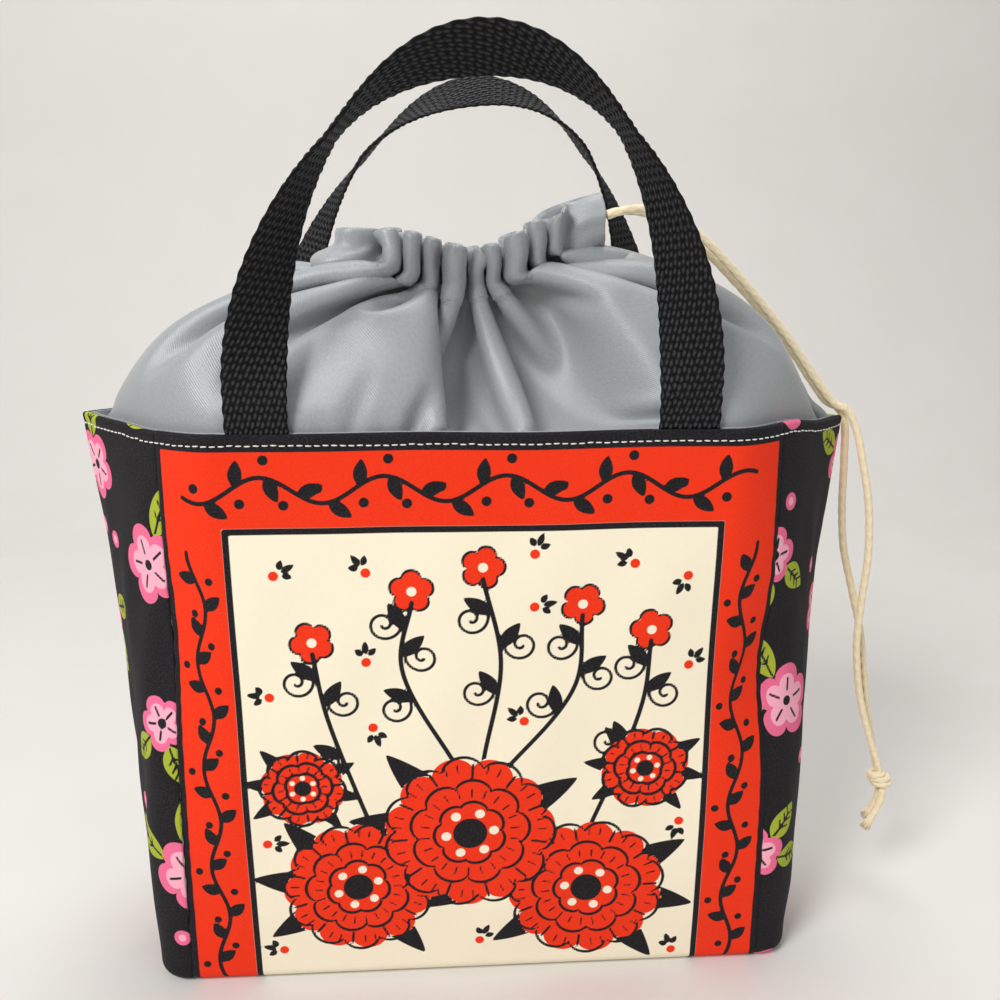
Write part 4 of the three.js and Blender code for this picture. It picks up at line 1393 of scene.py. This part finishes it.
def add_channel_stitches(outer, out, v, width):
    """The seam that closes the channel under its cord."""
    columns = np.linspace(2, len(outer) - 3, int(width / CHANNEL_STITCH))
    low = columns.astype(int)
    part = (columns - low)[:, None]
    row = np.argmax(v[low] > 1 - CHANNEL_HALF, 1)
    centres = outer[low, row] * (1 - part) + outer[low + 1, row] * part
    along = unit(outer[low + 1, row] - outer[low, row])
    square = out[low, row]
    square = unit(square - along * (square * along).sum(1)[:, None])
    piece = stitches("channel_stitching", centres, along, square, 0.75 * CHANNEL_STITCH, 0.42, grey_thread)
    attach(piece, "collar")


def half_thickness(u, v, width):
    """Half the cloth's thickness: doubled in the channel, pinched at its seam, round at the cord's exit."""
    half = 0.4 + 0.35 * smoothstep(v, -CHANNEL_HALF - 0.5, 0.5 - CHANNEL_HALF)
    half = half - 0.15 * np.exp(-((v + CHANNEL_HALF) / 0.8) ** 2)
    tip = 1 - smoothstep(np.minimum(u, width - u), 10, 16)
    half = half + 1.5 * tip * np.exp(-(v / 2.4) ** 2)
    return half * np.sqrt(np.clip((CHANNEL_HALF - v) / 1.6 + 0.12, 0, 1))


# Steps to draw the cord, steps to settle, and sweeps in each
FULL_RUN, QUICK_RUN = (90, 60, 8), (24, 6, 3)
SOFTEN = 0.2


def add_cover():
    points, width, rise = gathered_cloth(*FULL_RUN)
    for _ in range(2):
        soft = points.copy()
        soft[1:-1] += SOFTEN * (points[2:] + points[:-2] - 2 * points[1:-1])
        soft[:, 1:-1] += SOFTEN * (points[:, 2:] + points[:, :-2] - 2 * points[:, 1:-1])
        points = soft
    seam = (points[:1] + points[-1:]) / 2
    opened = np.arange(COVER_ROWS)[None, :, None] >= CHANNEL_ROW
    first = np.where(opened, 1.5 * points[:1] - 0.5 * points[1:2], seam)
    last = np.where(opened, 1.5 * points[-1:] - 0.5 * points[-2:-1], seam)
    grid = np.concatenate([first, points, last])[::-1]
    grid = finer(finer(grid, 0), 1)
    columns, rows = grid.shape[:2]
    out = np.cross(np.gradient(grid, axis=0), np.gradient(grid, axis=1))
    out /= np.linalg.norm(out, axis=-1)[..., None] + 1e-9
    rise = np.concatenate([rise[:1], rise, rise[-1:]])[::-1]
    rise = finer(finer(rise, 0), 1)
    v = rise - rise[:, -1:] + CHANNEL_HALF
    u = np.linspace(0, width, columns)[:, None]
    thick = out * half_thickness(u, v, width)[..., None]
    outer, inner = grid + thick, grid - thick
    flat = np.stack(np.broadcast_arrays(u, rise), -1)
    every = (slice(None, None, 2), slice(None, None, 2))
    shape = np.concatenate([outer.reshape(-1, 3), inner[every].reshape(-1, 3)])
    uv = np.concatenate([flat.reshape(-1, 2), flat[every].reshape(-1, 2)])
    piece = add_mesh("gathered_cover", shape, shell_faces(columns, rows, 2), sateen, uv)
    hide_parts("cover_front", "cover_back", "drawstring_channel", "drawstring_in_channel")
    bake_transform(piece)
    add_channel_stitches(outer, out, v, width)


add_cover()


# Stage and light
FLOOR_Z = -0.2
# Name, place, target, size and power of each light
LIGHTS = [("key", (-0.75, -0.9, 1.15), (0, 0, 0.15), 0.6, 17),
          ("fill", (0.9, -1.0, 0.7), (0, 0, 0.12), 0.9, 2),
          ("top", (0.1, 0.25, 1.3), (0, 0, 0.2), 0.7, 6)]


def add_stage():
    """A pale floor that bends up into the wall behind."""
    pale = grained("pale_floor", rgb(226, 223, 218), rgb(232, 229, 225), 14, 3.0, 0.9)
    near_y, bend_y, radius, wide, tall = -2500, 500, 400, 3000, 2600
    t = np.linspace(0, math.pi / 2, 24)
    profile = [(near_y, FLOOR_Z), *zip(bend_y + radius * np.sin(t), FLOOR_Z + radius * (1 - np.cos(t))),
               (bend_y + radius, tall)]
    points = np.array([(x, y, z) for x in (-wide, wide) for y, z in profile])
    count = len(profile)
    faces = quads(np.arange(2 * count).reshape(2, count))
    add_mesh("floor", points, faces, pale)


def add_light(name, place_at, target, size, energy):
    data = bpy.data.lights.new(name, "AREA")
    data.shape = "DISK"
    data.size = size
    data.energy = energy
    lamp = bpy.data.objects.new(name, data)
    lamp.location = place_at
    aim = Vector(target) - Vector(place_at)
    lamp.rotation_euler = aim.to_track_quat("-Z", "Y").to_euler()
    bpy.context.scene.collection.objects.link(lamp)


def add_lights():
    world = bpy.data.worlds.new("studio")
    world.use_nodes = True
    back = world.node_tree.nodes["Background"]
    back.inputs["Color"].default_value = (1, 1, 1, 1)
    back.inputs["Strength"].default_value = 0.28
    bpy.context.scene.world = world
    for light in LIGHTS:
        add_light(*light)


add_stage()
add_lights()
bpy.context.scene.view_settings.view_transform = "Standard"
